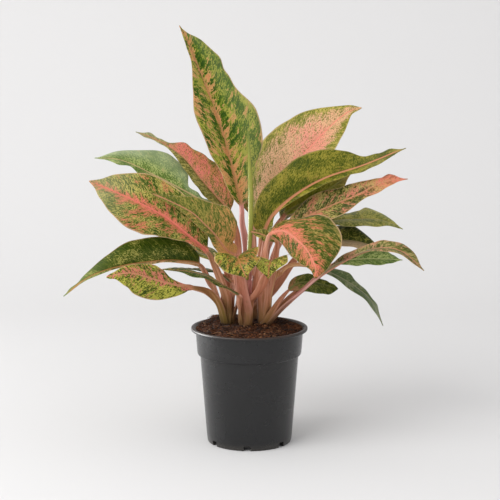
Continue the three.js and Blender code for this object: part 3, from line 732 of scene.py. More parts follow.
        cane="back", height=14, heading=180,
        stalk=[(-15, 40, 164)],
        midrib=[(-32, 58, 189), (-58, 80, 202), (-92, 102, 206), (-122, 118, 194)],
        faces=[(0, 0, 1)],
        halfWidths=(24, 24), fold=(15, 10),
        look=dict(paleStalk, blush=-0.2)),
    "back_low_leaf": dict(
        cane="back", height=8, heading=95,
        stalk=[(2, 50, 153)],
        midrib=[(2, 66, 166), (2, 90, 174), (3, 114, 173), (3, 138, 154)],
        faces=[(0, 0.2, 1)],
        halfWidths=(26, 26), fold=(15, 5),
        look=dict(paleStalk, blush=-0.1, blushRib=0.15)),
}


def unit(vectors):
    return vectors / np.maximum(np.linalg.norm(vectors, axis=-1, keepdims=True), 1e-12)


def smoothStep(share):
    share = np.clip(share, 0, 1)
    return share * share * (3 - 2 * share)


def throughPoints(points, places):
    # a uniform Catmull-Rom curve at places counted in points
    last = len(points) - 1
    low = np.minimum(places.astype(int), last - 1)
    share = (places - low)[:, None]
    before = np.where((low > 0)[:, None], points[np.maximum(low - 1, 0)], 2 * points[0] - points[1])
    after = np.where((low + 2 <= last)[:, None], points[np.minimum(low + 2, last)],
                     2 * points[last] - points[last - 1])
    start, end = points[low], points[low + 1]
    leaving, arriving = (end - before) / 2, (after - start) / 2
    cubic = 2 * start - 2 * end + leaving + arriving
    square = 3 * end - 3 * start - 2 * leaving - arriving
    return cubic * share ** 3 + square * share ** 2 + leaving * share + start


def evenPlaces(points, first, last, count, samples=400):
    # places from first to last, evenly spaced along the curve's length
    places = np.linspace(first, last, samples)
    steps = np.linalg.norm(np.diff(throughPoints(points, places), axis=0), axis=1)
    lengths = np.concatenate([[0], np.cumsum(steps)])
    return np.interp(np.linspace(0, lengths[-1], count), lengths, places), lengths[-1]


def edgeChange(changes, places):
    # how much further out an edge goes: smooth steps between the listed places, nothing at the ends
    marks = np.array([(0, 0), *changes, (1, 0)], float)
    low = np.clip(np.searchsorted(marks[:, 0], places, side="right") - 1, 0, len(marks) - 2)
    share = smoothStep((places - marks[low, 0]) / (marks[low + 1, 0] - marks[low, 0]))
    return (marks[low, 1] + (marks[low + 1, 1] - marks[low, 1]) * share) * mm


def spineMesh(name, middles, **told):
    # a line of stations, each with its numbers and directions. Both ends are doubled, so that the
    # first and last ring can close on one point
    last = len(middles) - 1
    doubled = np.array([0, *range(last + 1), last])
    mesh = bpy.data.meshes.new(name)
    mesh.from_pydata(middles[doubled].tolist(), [(i, i + 1) for i in range(last + 2)], [])
    told = {label: values[doubled] for label, values in told.items()}
    told["closing"] = np.array([0.0, *[1.0] * (last + 1), 0.0])
    for label, values in told.items():
        kind, key = ("FLOAT", "value") if values.ndim == 1 else ("FLOAT_VECTOR", "vector")
        mesh.attributes.new(label, kind, "POINT").data.foreach_set(key, values.ravel())
    return mesh


def leafSpine(name, leaf):
    form, cane = leafForm, canes[leaf["cane"]]
    foot, top = np.array(cane["foot"]) * mm, np.array(cane["top"]) * mm
    heading = math.radians(leaf["heading"])
    outward = np.array([math.cos(heading), math.sin(heading), 0])
    axis = foot + (top - foot) * leaf["height"] * mm / (top[2] - foot[2])
    footDepth = bladeForm["footDepth"]
    start = axis + outward * (form["caneRadius"] + form["gap"] + footDepth)
    points = np.vstack([start, np.array(leaf["stalk"] + leaf["midrib"]) * mm])
    knee = 1 + len(leaf["stalk"])
    stalkPlaces, stalkLength = evenPlaces(points, 0, knee, form["stalkStations"])
    bladePlaces, bladeLength = evenPlaces(points, knee, len(points) - 1, form["bladeStations"])
    # growth runs from -1 at the foot, through 0 where the blade starts, to 1 at the tip
    growth = np.concatenate([np.linspace(-1, 0, form["stalkStations"])[:-1],
                             np.linspace(0, 1, form["bladeStations"])])
    places = np.concatenate([stalkPlaces[:-1], bladePlaces])
    lengths = growth * np.where(growth < 0, stalkLength, bladeLength)
    middles = throughPoints(points, places)
    nudge = 1e-3
    ahead = throughPoints(points, np.minimum(places + nudge, len(points) - 1))
    tangents = unit(ahead - throughPoints(points, np.maximum(places - nudge, 0)))
    # a petiole starts upright and has its own direction after a third of its length
    upright = np.clip((growth + 1) * 3, 0, 1)[:, None]
    tangents = unit(np.array([0, 0, 1.0]) * (1 - upright) + tangents * upright)
    faces = unit(np.array(leaf["faces"], float))
    position = np.clip(growth, 0, 1) * (len(faces) - 1)
    looks = np.array([[np.interp(p, range(len(faces)), faces[:, k]) for k in range(3)] for p in position])
    # the sheath's hollow side lies on the cane
    facesCane = 1.0 if -outward @ faces[0] >= 0 else -1.0
    onCane = -outward * facesCane
    turned = smoothStep(growth + 1)[:, None]
    looks = np.where((growth < 0)[:, None], onCane * (1 - turned) + faces[0] * turned, looks)
    looks = unit(looks - (looks * tangents).sum(1, keepdims=True) * tangents)
    # below its foot the sheath runs down the cane into the soil
    run = np.linspace(0, 1, form["runStations"])[:-1]
    runHeights = form["soilHeight"] + (start[2] - form["soilHeight"]) * run
    runAxis = foot + (top - foot) * ((runHeights - foot[2]) / (top[2] - foot[2]))[:, None]
    lean = form["caneRadius"] + form["runDepth"] + (footDepth - form["runDepth"]) * run ** 3
    middles = np.vstack([runAxis + outward * lean[:, None], middles])
    looks = np.vstack([np.tile(onCane, (len(run), 1)), looks])
    tangents = np.vstack([np.tile(unit(top - foot), (len(run), 1)), tangents])
    growth = np.concatenate([-1.5 + 0.5 * run, growth])
    lengths = np.concatenate([runHeights - start[2] + lengths[0], lengths])
    looks = unit(looks - (looks * tangents).sum(1, keepdims=True) * tangents)
    onBlade = np.clip(growth, 0, 1)
    return spineMesh(name, middles, growth=growth, length=lengths, faceDir=looks,
                     sideDir=np.cross(tangents, looks),
                     leftExtra=edgeChange(leaf.get("leftEdge", []), onBlade),
                     rightExtra=edgeChange(leaf.get("rightEdge", []), onBlade),
                     towardCane=np.full(len(growth), facesCane))


def spineGrid(tree, spine, rounds, *numbers):
    # a sheet with a row of points for each station, its share of the way round, and what the spine says
    size = addNode(tree, "GeometryNodeAttributeDomainSize", Geometry=spine)
    stations = Field(tree, size.outputs["Point Count"])
    grid = grow(tree, "MeshGrid", Size_X=1.0, Size_Y=1.0, Vertices_X=rounds + 1.0, Vertices_Y=stations)
    across, along, _ = grow(tree, "InputPosition").split()
    station = ((along + 0.5) * (stations - 1.0)).nearest()
    told = SimpleNamespace()
    for name in ("middle", "faceDir", "sideDir", "growth", "closing", *numbers):
        kind = {"data_type": "FLOAT_VECTOR" if name in ("middle", "faceDir", "sideDir") else "FLOAT"}
        read = (grow(tree, "InputPosition") if name == "middle" else
                grow(tree, "InputNamedAttribute", kind, Name=name))
        setattr(told, name, grow(tree, "SampleIndex", kind, Geometry=spine, Index=station, Value=read))
    return grid, across + 0.5, told


def bendGrid(tree, grid, told, sideways, upways, nearness):
    # moves each row out from its station and closes the seam and the ends
    moved = told.middle.plus((sideways * told.closing).along(told.sideDir))
    moved = moved.plus((upways * told.closing).along(told.faceDir))
    grid = grow(tree, "SetPosition", Geometry=grid, Position=moved)
    return grow(tree, "MergeByDistance", Geometry=grid, Distance=nearness)


# The blade's rule: a closed section runs along the spine. It starts as the petiole's oval, which
# is a wide thin sheath at the foot, and opens into the folded blade
def bladeTree():
    tree, given, made = newGrowth("leafBlade", bladeForm)
    grid, share, told = spineGrid(tree, given.base, given.sectionSteps,
                                  "length", "leftExtra", "rightExtra", "towardCane")
    growth = told.growth
    isBlade = growth.isOver(0.0)
    blade = growth.atLeast(0.0)
    stalk = (growth + 1.0).atMost(1.0)

    # out runs from -1 at the left edge to 1 at the right one over the top, and back underneath, with
    # rings of points that lie close at the rib and at the rim
    roundTurn = share * 2.0
    evenOut = 1.0 - (roundTurn - 1.0).size() * 2.0
    reach = evenOut.size().smooth()
    out = evenOut.sign() * reach
    above = (1.0 - roundTurn).sign()
    top = above.atLeast(0.0)
    below = 1.0 - top
    turn = math.pi - roundTurn * math.pi
    right = out.isOver(0.0)

    # the outline, its changes and the fold. The changes fade out in the last twelfth at each end
    inside = blade.atLeast(1e-4).atMost(1 - 1e-4)
    bluntness = given.baseBluntness.mix(given.tipBluntness, inside)
    outline = ((inside ** given.widest) * math.pi).sine() ** bluntness * isBlade
    ends = (blade.atMost(1.0 - blade) * 12.0).clamped()
    width = given.leftHalfWidth.mix(given.rightHalfWidth, right)
    width = (width * outline + told.leftExtra.mix(told.rightExtra, right) * ends).atLeast(0.0)
    lift = given.foldBase.mix(given.foldTip, blade) - leafForm["foldCut"]
    lift = lift + given.leftTuck.mix(given.rightTuck, right)
    angle = (lift + given.edgeCurl * (1.0 - reach)) * (math.pi / 180)
    sideways = out * width * angle.cosine()
    upways = reach * width * angle.sine()

    # the wavy edge, and the quilting between the side veins. The two sides are out of step
    waving = (growth * given.waves * math.tau + given.waveShift + right * leafForm["sideShift"]).sine()
    upways = upways + waving * given.edgeWave * reach * reach * outline
    across = (width * reach).size()
    veinPlace = (told.length - across * leafForm["markSlope"]) / given.veinSpacing + right * 0.5
    quilt = (veinPlace * math.tau).sine() * reach.ramp(0.0, 0.3) * reach.ramp(0.95, 0.6)
    upways = upways + quilt * given.veinRelief * outline

    # the skin: thin with a round edge, with a rib along the underside and a shallow groove above
    ribRadius = given.ribTipRadius + (given.stalkRadius - given.ribTipRadius) * (blade * -5.0).exponent()
    rib = across.bump(ribRadius * 1.1)
    edge = (1.0 - reach ** 4.0).atLeast(0.0).root()
    skin = above * given.halfThickness * edge - rib * ribRadius * below * 1.5
    skin = skin - rib * top * ribRadius * 0.15

    # the petiole: an oval that widens into a sheath at the foot and bends round the cane
    sheath = (1.0 - stalk.atLeast(0.0)) ** 0.9
    narrowed = 1.0 + stalk.atMost(0.0) * 0.9
    ovalWide = given.stalkRadius.mix(given.footHalfWidth * narrowed, sheath).mix(ribRadius, isBlade)
    ovalDeep = given.stalkRadius.mix(given.footDepth * 0.6, sheath).mix(ribRadius, isBlade)
    ovalX = turn.cosine() * ovalWide
    groove = ovalX.bump(ovalWide * 0.5) * ovalDeep * 0.55 * turn.sine().atLeast(0.0)
    wrap = ovalX * ovalX * told.towardCane * (sheath * given.sheathWrap)
    ovalY = turn.sine() * ovalDeep - groove + wrap
    # the oval turns into the blade as the blade widens
    opening = ((width / leafForm["openWidth"]).clamped() * isBlade).smooth()
    sideways = sideways + ovalX * (1.0 - opening)
    upways = upways + ovalY.mix(skin, opening)

    grid = store(tree, grid, growth=growth, along=told.length, across=across * out.sign(), spread=out,
                 under=below, sheath=(ovalX / ovalWide) * (1.0 - opening))
    grid = bendGrid(tree, grid, told, sideways, upways, 0.00001)
    return finishGrowth(tree, made, grid, given.material)


# What a leaf's colours and markings start from. A look in the table above changes some of them
leafLook = dict(
    deepGreen=(66, 82, 18), leafGreen=(118, 118, 42), limeGreen=(176, 166, 82), blushPink=(220, 118, 94),
    paleBlush=(194, 142, 98), rib=(192, 132, 98), edge=(204, 168, 126), underside=(118, 120, 84),
    stalk=(188, 124, 92), stalkEdge=(220, 164, 142), stalkCrease=(140, 72, 50), stalkFoot=(124, 94, 50),
    lime=0.0, streaks=0.8, ribWidth=1.0, coral=0.0, coralMiddle=0.0, patches=0.7, tipStart=0.0, blush=0.0,
    blushRib=0.0, blushReach=6.0, blushLeft=0.0, blushRight=0.0, blushBase=0.0, blushTip=0.0,
    # the wash is a painted sheen, and on some leaves the tip's own colour
    blushMargin=0.0, paleness=0.25, specks=0.5, softness=0.15, dark=0.0, wash=(190, 184, 150), washTip=0.0,
    washRight=0.0,
)

# Markings that are drawn out along the side veins. For each: its length and width in millimetres, and
# how detailed and how rough its noise is
flecks = {
    "coarse": (4.2, 9.0, 3, 0.55),
    "fine": (1.35, 2.3, 2, 0.6),
    "speck": (0.95, 1.3, 1, 0.5),
    "branch": (6.5, 26.0, 2, 0.55),
}


# Aglaonema markings: blush and lime flecks drawn out along the side veins, dark specks, a tinted
# midrib and edge, a duller underside, a wash of painted sheen that on some tips is their own colour, and the
# petiole's colours, with painted highlights and shade, below the blade
def leafMarkings():
    sockets = {name: tint(*value) if isinstance(value, tuple) else value for name, value in leafLook.items()}
    tree, look, made = newTree("leafMarkings", "ShaderNodeTree", {"seed": 0.0, **sockets},
                               {"colour": colour, "roughness": number, "height": number})
    names = ("growth", "along", "across", "spread", "under", "sheath")
    growth, along, across, spread, under, sheath = readAttributes(tree, *names)
    along, across = along / mm, across / mm
    reach, rim = across.size(), spread.size()
    blade = growth.atLeast(0.0)
    right = across.isOver(0.0)
    hand = right * 9.7 + look.seed * 3.1

    slope = leafForm["markSlope"]
    warp = noise(joined(along / 8.0, across / 8.0, look.seed))
    vein = along - reach * slope - reach * reach * 0.006 + (warp - 0.5) * 6.0
    marks = []
    for count, (long, wide, detail, roughness) in enumerate(flecks.values()):
        marks.append(noise(joined(vein / long, reach / wide, hand + 4.0 * count), 1.0, detail, roughness))
    coarse, fine, speck, branch = (mark - 0.5 for mark in marks)
    patch = noise(joined(along / 22.0, across / 15.0, look.seed + 2.0))
    drift = noise(joined(vein / 15.0, across / 18.0, look.seed + 5.0)) - 0.5
    cloud = (patch - 0.5) * look.patches
    soft = look.softness * 0.12

    # greens; dark lowers them all towards deep green, a painted shade
    shade = coarse * look.streaks * 2.6 + fine * 2.6 + speck * 1.3 + cloud + 0.5 - look.dark
    green = blend(shade.clamped(), look.deepGreen, look.leafGreen)
    limeLevel = fine * 1.1 + speck + coarse * 0.5 + cloud + look.lime
    skin = blend(limeLevel.ramp(0.03 - soft, 0.10 + soft) * 0.78, green, look.limeGreen)

    # blush: tan flecks at the fringe, coral where it is strong
    level = coarse * look.streaks * 1.4 + fine * 1.1 + drift * look.patches + look.blush
    level = level + look.blushRib * reach.bump(look.blushReach * (branch * 3.0 + 1.1))
    level = level + look.blushLeft * (1.0 - right) + look.blushRight * right
    level = level + look.blushBase * (1.0 - blade) ** 2.0 + look.blushTip * blade.ramp(look.tipStart, 1.0)
    level = level + look.blushMargin * rim.ramp(0.45, 1.0)
    blushMask = level.ramp(-0.01 - soft, 0.06 + soft)
    coral = look.coral + look.coralMiddle * (blade - 0.62).bump(0.15)
    core = (level + speck * 0.3 + coral).ramp(0.08, 0.28)
    blush = blend(core * (1.0 - look.paleness), look.paleBlush, look.blushPink)
    skin = blend(blushMask * 0.94, skin, blush)
    specks = (speck + fine * 0.6).ramp(0.07, 0.15) * look.specks * blushMask
    skin = blend(specks, skin, look.deepGreen)
    # painted sheen: a pale wash toward the tip and over the right half stands in for the leaf's gloss; where
    # it is coral or pink, on some tips, it is the tip's own colour
    wash = look.washTip * blade.ramp(0.58, 0.95) + look.washRight * right * rim.ramp(0.1, 0.7)
    skin = blend((wash * (0.5 + patch)).clamped(), skin, look.wash)

    # midrib, side veins, edge, and the dull underside. The edge is partly the margin's own colour and partly
    # a painted highlight against the shade on the rim, and it keeps the underside from dulling there
    ribWidth = (0.7 + (blade * -4.0).exponent() * 1.3) * look.ribWidth
    rib = reach.ramp(ribWidth * 1.4, ribWidth * 0.6) * blade.ramp(0.99, 0.9)
    skin = blend(rib * 0.85, skin, look.rib)
    veins = ((along - reach * slope) * (math.tau * mm / bladeForm["veinSpacing"])).sine()
    skin = blend(veins.ramp(0.93, 1.0) * rim.ramp(0.98, 0.8) * 0.18, skin, look.limeGreen)
    edge = rim.ramp(0.94, 0.99)
    skin = blend(edge * 0.7, skin, look.edge)
    dull = blend(0.7, skin, look.underside)
    skin = blend(under * (1.0 - rib) * (1.0 - edge), skin, dull)

    # petiole: streaked, with pale edges that are partly its own colour and partly painted highlight, dark
    # streaks of painted crease shade, olive brown near the potting mix and dark brown just above it
    height = objectPlace(tree).split()[2] / mm
    streak = noise(joined(along / 40.0, sheath * 2.4, hand), 1.0, 3, 0.55)
    blotch = noise(joined(along / 9.0, sheath * 1.2, hand + 6.0), 1.0, 3, 0.6)
    stalk = look.stalk
    for share, paint in (
        # pale streaks and edges: partly the sheath's own colour, partly painted highlight; dark streaks:
        # painted crease shade
        (((streak - 0.45) * 3.0).clamped() * 0.6, look.stalkEdge),
        (((0.5 - streak) * 4.0).clamped() * 0.5, look.stalkCrease),
        (((blotch - 0.5) * 3.0).clamped() * 0.5, look.stalkFoot),
        (sheath.size().ramp(0.75, 0.98) * 0.5, look.stalkEdge),
        ((height + (streak - 0.5) * 40.0).ramp(172.0, 134.0) * 0.85, look.stalkFoot),
        ((height + (blotch - 0.5) * 14.0).ramp(146.0, 129.0) * 0.85, tint(66, 42, 22)),
    ):
        stalk = blend(share, stalk, paint)
    isStalk = growth.ramp(0.03, -0.02)
    plug(tree, made.inputs["colour"], blend(isStalk, skin, stalk))
    plug(tree, made.inputs["roughness"], 0.42 + coarse * 0.2 + under * 0.14)
    relief = veins * 0.5 + fine * 0.5 + speck * 0.25
    plug(tree, made.inputs["height"], relief * (1.0 - isStalk) + streak * isStalk * 2.0)
    return tree


def leafMaterial(name, look, group, seed):
    material, tree, _ = newMaterial(name)
    marks = addNode(tree, "ShaderNodeGroup", {"node_tree": group}, seed=float(seed))
    for label, value in {**leafLook, **look}.items():
        plug(tree, marks.inputs[label], tint(*value) if isinstance(value, tuple) else value)
    skin, roughness, height = marks.outputs
    return finishMaterial(material, skin, roughness, height, strength=0.35, depth=0.0003, mirror=0.14)


def bladeSizes(leaf, count):
    sizes = {**bladeForm, "waveShift": float(count)}
    paired = {
        "halfWidths": ("leftHalfWidth", "rightHalfWidth"),
        "outline": ("widest", "baseBluntness", "tipBluntness"),
        "fold": ("foldBase", "foldTip"),
        "tuck": ("leftTuck", "rightTuck"),
    }
    for key, labels in paired.items():
        scale = mm if key == "halfWidths" else 1.0
        sizes.update((label, value * scale) for label, value in zip(labels, leaf.get(key, ())))
    sizes.update((key, value) for key, value in leaf.items() if key in bladeForm)
    return sizes


def buildLeaves():
    tree = bladeTree()
    group = leafMarkings()
    for count, (name, leaf) in enumerate(leaves.items()):
        material = leafMaterial(name.replace("_leaf", "_skin"), leaf["look"], group, count)
        piece = growPiece(name.replace("_leaf", "_blade"), leafSpine(name, leaf), tree, material,
                          bladeSizes(leaf, count))
        settle(piece, name)
    print(len(leaves), "leaves grown")


buildLeaves()


# Canes: short stems that the sheaths wrap, with rings where old leaves came off

caneForm = {
    "depth": 0.006,
    "tipHeight": 0.003,
    "sizes": {"radius": 0.0060, "ringSpacing": 0.0085, "ringHeight": 0.0004, "rounds": 40, "stations": 60},
}


def caneTree():
    tree, given, made = newGrowth("ringedCane", caneForm["sizes"])
    curve = grow(tree, "MeshToCurve", Mesh=given.base)
    curve = grow(tree, "ResampleCurve", Curve=curve, Count=given.stations)
    spline = addNode(tree, "GeometryNodeSplineParameter")
    share, length = Field(tree, spline.outputs["Factor"]), Field(tree, spline.outputs["Length"])
    ring = ((length / given.ringSpacing).part() - 0.5).bump(0.09)
    # narrow in the soil, full above it, and tapered at the tip
    taper = share.ramp(0.45, 1.0, 1.0, 0.15) * share.ramp(0.05, 0.5, 0.68, 1.0)
    thickness = (given.radius * (1.04 - share * 0.10) + ring * given.ringHeight) * taper
    curve = grow(tree, "SetCurveRadius", Curve=curve, Radius=thickness)
    profile = grow(tree, "CurvePrimitiveCircle", Resolution=given.rounds, Radius=1.0)
    tube = addNode(tree, "GeometryNodeCurveToMesh", Curve=curve, Profile_Curve=profile, Fill_Caps=True)
    if "Scale" in tube.inputs:
        plug(tree, tube.inputs["Scale"], thickness)
    return finishGrowth(tree, made, tube.outputs[0], given.material)


def caneMaterial():
    material, tree, _ = newMaterial("caneSkin")
    place = objectPlace(tree)
    x, y, z = place.split()
    fibre = noise(joined(x * 900.0, y * 900.0, z * 45.0), 1.0, 3, 0.6)
    blotch = noise(place, 160.0, 3)
    skin = blend((fibre * 1.6 - 0.3).clamped(), tint(150, 100, 78), tint(206, 152, 128))
    skin = blend((z + (blotch - 0.5) * 0.012).ramp(0.158, 0.134), skin, tint(98, 74, 38))
    # darker just above the potting mix
    nearSoilDarkening = (z + (blotch - 0.5) * 0.008).ramp(0.139, 0.130)
    skin = blend(nearSoilDarkening * 0.8, skin, tint(62, 40, 24))
    roughness = 0.5 + (blotch - 0.5) * 0.3
    return finishMaterial(material, skin, roughness, fibre, strength=0.5, depth=0.0004)


def buildCanes():
    tree, material = caneTree(), caneMaterial()
    for name, cane in canes.items():
        foot, top = Vector(cane["foot"]) * mm, Vector(cane["top"]) * mm
        along = (top - foot).normalized()
        low, high = foot - along * caneForm["depth"], top + along * caneForm["tipHeight"]
        axis = bpy.data.meshes.new(name)
        axis.from_pydata([low, high], [(0, 1)], [])
        piece = growPiece(name + "_stem", axis, tree, material, caneForm["sizes"])
        settle(piece, name + "_cane")
    print(len(canes), "canes grown")


buildCanes()


# The newest leaf, still rolled up: its section is a spiral, so one edge laps over the other

newLeaf = {
    "points": [(1, -9, 234), (1.6, -7, 267), (1.5, -6, 283), (0.5, -4, 307), (-0.5, -2, 329), (-1.6, 0, 350)],
    "stations": 110,
    "sizes": {"radius": 0.0029, "footRadius": 0.0021, "tipRadius": 0.00035, "lap": 0.16,
              "seamHeading": 250.0, "seamTwist": 80.0, "rounds": 48},
}


def rolledTree():
    tree, given, made = newGrowth("rolledLeaf", newLeaf["sizes"])
    grid, turn, told = spineGrid(tree, given.base, given.rounds)
    growth = told.growth
    radius = growth.ramp(0.0, 0.42, given.footRadius, given.radius)
    point = (1.0 - growth).atLeast(0.0).ramp(0.0, 0.36, 0.0, 1.0, "LINEAR") ** 0.75
    radius = given.tipRadius.mix(radius, point)
    # the radius grows a little round the turn, then steps back at the seam
    spiral = 1.0 - given.lap * 0.5 + given.lap * turn - turn.ramp(0.96, 1.0) * given.lap
    angle = turn * math.tau + (given.seamHeading + given.seamTwist * growth) * (math.pi / 180)
    reach = radius * spiral
    grid = store(tree, grid, growth=growth, turn=turn)
    grid = bendGrid(tree, grid, told, angle.cosine() * reach, angle.sine() * reach, 0.000005)
    return finishGrowth(tree, made, grid, given.material)


def rolledMaterial():
    material, tree, _ = newMaterial("newLeafSkin")
    growth, turn = readAttributes(tree, "growth", "turn")
    streak = noise(joined(turn * 26.0, growth * 14.0), 1.0, 3, 0.6)
    fleck = noise(joined(turn * 40.0, growth * 90.0, 3.0))
    skin = blend((streak * 1.5 - 0.25).clamped(), tint(102, 110, 22), tint(160, 158, 58))
    skin = blend(fleck.ramp(0.56, 0.66) * 0.5, skin, tint(176, 174, 96))
    skin = blend(turn.ramp(0.90, 0.99) * 0.85, skin, tint(64, 84, 30))
    skin = blend(growth.ramp(0.75, 1.0) * 0.6, skin, tint(84, 108, 36))
    roughness = 0.4 + (streak - 0.5) * 0.2
    return finishMaterial(material, skin, roughness, streak, strength=0.4, depth=0.0003)


def buildNewLeaf():
    foot = np.array(canes["centre"]["top"]) * mm + [0, 0, 0.0006]
    points = np.vstack([foot, np.array(newLeaf["points"]) * mm])
    places, _ = evenPlaces(points, 0, len(points) - 1, newLeaf["stations"])
    middles = throughPoints(points, places)
    tangents = unit(np.gradient(middles, axis=0))
    sides = unit(np.cross(tangents, [0, -1.0, 0]))
    axis = spineMesh("newLeafAxis", middles, growth=np.linspace(0, 1, len(places)),
                     faceDir=np.cross(sides, tangents), sideDir=sides)
    piece = growPiece("rolled_new_blade", axis, rolledTree(), rolledMaterial(), newLeaf["sizes"])
    settle(piece, "rolled_new_leaf")
    print("new leaf rolled")


buildNewLeaf()


# Nursery pot: a turned shell with a collar and a rolled rim, and drain notches round its foot

potForm = {
    "footRadius": 0.0475,
    "shoulderRadius": 0.055,
    "collarStep": 0.0032,
    "collarHeight": 0.031,
    "wall": 0.0017,
    "floorHeight": 0.005,
    "footHeight": 0.0025,
    "footRing": 0.004,
    "padRadius": 0.015,
    "rimHeight": 0.0035,
    "rimReach": 0.005,
    "turns": 192,
    "cornerSteps": 6,
    "sharpAngle": 38,
    "drains": {"count": 7, "width": 0.0075, "height": 0.006, "depth": 0.012, "rounding": 0.0016, "turn": -93},
}


def roundedProfile(corners):
    # corners are (radius, height, rounding): each corner becomes an arc of that size
    points = []
    for i, (r, z, rounding) in enumerate(corners):
        here = Vector((r, z))
        if rounding == 0:
            points.append(here)
            continue
        before, after = Vector(corners[i - 1][:2]) - here, Vector(corners[i + 1][:2]) - here
        reach = min(rounding, before.length * 0.48, after.length * 0.48)
        start, end = here + before.normalized() * reach, here + after.normalized() * reach
        for k in range(potForm["cornerSteps"] + 1):
            t = k / potForm["cornerSteps"]
            points.append(start * (1 - t) ** 2 + here * 2 * t * (1 - t) + end * t ** 2)
    return points


def turnedMesh(name, profile, turns):
    count = len(profile)
    points = []
    faces = []
    for i in range(turns):
        heading = math.tau * i / turns
        points += [(p[0] * math.cos(heading), p[0] * math.sin(heading), p[1]) for p in profile]
        a, b = i * count, (i + 1) % turns * count
        faces += [(a + k, b + k, b + k + 1, a + k + 1) for k in range(count - 1)]
    mesh = bpy.data.meshes.new(name)
    mesh.from_pydata(points, [], faces)
    tidyMesh(mesh)
    return mesh


def tidyMesh(mesh):
    # merges what lies on one spot and turns the faces outwards
    solid = bmesh.new()
    solid.from_mesh(mesh)
    bmesh.ops.remove_doubles(solid, verts=solid.verts, dist=1e-6)
    bmesh.ops.dissolve_degenerate(solid, edges=solid.edges, dist=1e-7)
    bmesh.ops.recalc_face_normals(solid, faces=solid.faces)
    solid.to_mesh(mesh)
    solid.free()


def drainCutters():
    drains = potForm["drains"]
    width, height, depth = drains["width"], drains["height"], drains["depth"]
    # the cutters start this far below the pot, so that the notches are open underneath
    below = 0.002
    cutters = bmesh.new()
    for i in range(drains["count"]):
        heading = math.radians(drains["turn"] + 360 * i / drains["count"])
        box = bmesh.ops.create_cube(cutters, size=1)["verts"]
        bmesh.ops.scale(cutters, verts=box, vec=(depth, width, height + below))
        bmesh.ops.translate(cutters, verts=box, vec=(potForm["footRadius"], 0, (height - below) / 2))
        lengthways = {e for v in box for e in v.link_edges if abs((e.verts[0].co - e.verts[1].co).x) > 0.01}
        rounded = bmesh.ops.bevel(cutters, geom=list(lengthways), offset=drains["rounding"], segments=4,
                                  affect="EDGES", profile=0.5)
        moved = {v for v in box if v.is_valid} | set(rounded["verts"])
        bmesh.ops.rotate(cutters, verts=list(moved), cent=(0, 0, 0), matrix=Matrix.Rotation(heading, 3, "Z"))
    mesh = bpy.data.meshes.new("drainCutters")
    cutters.to_mesh(mesh)
    cutters.free()
    return mesh


def potMaterial():
    material, tree, _ = newMaterial("potPlastic")
    place = objectPlace(tree)
    x, y, z = place.split()
    cloud = noise(place, 22.0, 3, 0.6)
    grain = noise(place, 2600.0)
    ring = noise(joined(x * 3.0, y * 3.0, z * 420.0), 1.0, 3, 0.7)
    scuff = noise(joined(x * 60.0, y * 60.0, z * 240.0), 1.0, 4, 0.7)
    plastic = blend((cloud * 1.2 - 0.1).clamped(), tint(11, 11, 12), tint(19, 19, 20))
    plastic = blend(ring.ramp(0.5, 0.75) * 0.2, plastic, tint(32, 33, 34))
    plastic = blend(scuff.ramp(0.68, 0.8) * 0.06, plastic, tint(70, 69, 68))
    rimDust = z.ramp(0.1275, 0.1298) * (0.35 + cloud * 0.6)
    plastic = blend(rimDust.clamped() * 0.8, plastic, tint(62, 42, 30))
    footDust = (z + (scuff - 0.5) * 0.01).ramp(0.009, 0.001)
    plastic = blend(footDust * 0.4, plastic, tint(70, 66, 60))
    roughness = 0.27 + (cloud - 0.5) * 0.10 + scuff.ramp(0.6, 0.8) * 0.12 + rimDust * 0.3
    height = grain * 0.2 + ring * 0.6
    return finishMaterial(material, plastic, roughness, height, strength=0.25, depth=0.0001)


def potPlan():
    # radii and heights that the pot and the potting mix share. The side widens by slope with height
    rim, _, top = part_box("pot")[1]
    collarFoot = top - potForm["collarHeight"]
    return SimpleNamespace(
        rim=rim, top=top, collarFoot=collarFoot, collar=potForm["shoulderRadius"] + potForm["collarStep"],
        neck=rim - potForm["rimReach"],
        slope=(potForm["shoulderRadius"] - potForm["footRadius"]) / collarFoot)


def potProfile():
    plan, form = potPlan(), potForm
    rim, top, collarFoot, collar, neck = plan.rim, plan.top, plan.collarFoot, plan.collar, plan.neck
    rimFoot = top - form["rimHeight"]
    foot, shoulder, pad = form["footRadius"], form["shoulderRadius"], form["padRadius"]
    ring, wall, floor = foot - form["footRing"], form["wall"], form["floorHeight"]
    return roundedProfile([
        # underneath, from the middle out
        (0, 0, 0), (pad, 0, 0.0004), (pad, form["footHeight"], 0.0004),
        (ring, form["footHeight"], 0.0005), (ring, 0, 0.0005), (foot - 0.0005, 0, 0.002),
        # up the outside
        (foot + 0.0005, 0.008, 0.006), (shoulder, collarFoot, 0.0006),
        (collar - 0.0006, collarFoot + 0.0008, 0.0006), (collar, collarFoot + 0.0026, 0.001),
        (neck - 0.0002, rimFoot - 0.003, 0.002), (neck, rimFoot, 0.001), (rim, rimFoot, 0.0014),
        (rim, top, 0.0016),
        # down the inside to the middle of the floor
        (neck + 0.0014, top, 0.0012), (neck - wall, top - 0.003, 0.001),
        (collar - wall, collarFoot + 0.0024, 0.001), (shoulder - wall, collarFoot, 0.0006),
        (foot + plan.slope * floor - wall, floor, 0.001), (0, floor, 0),
    ])


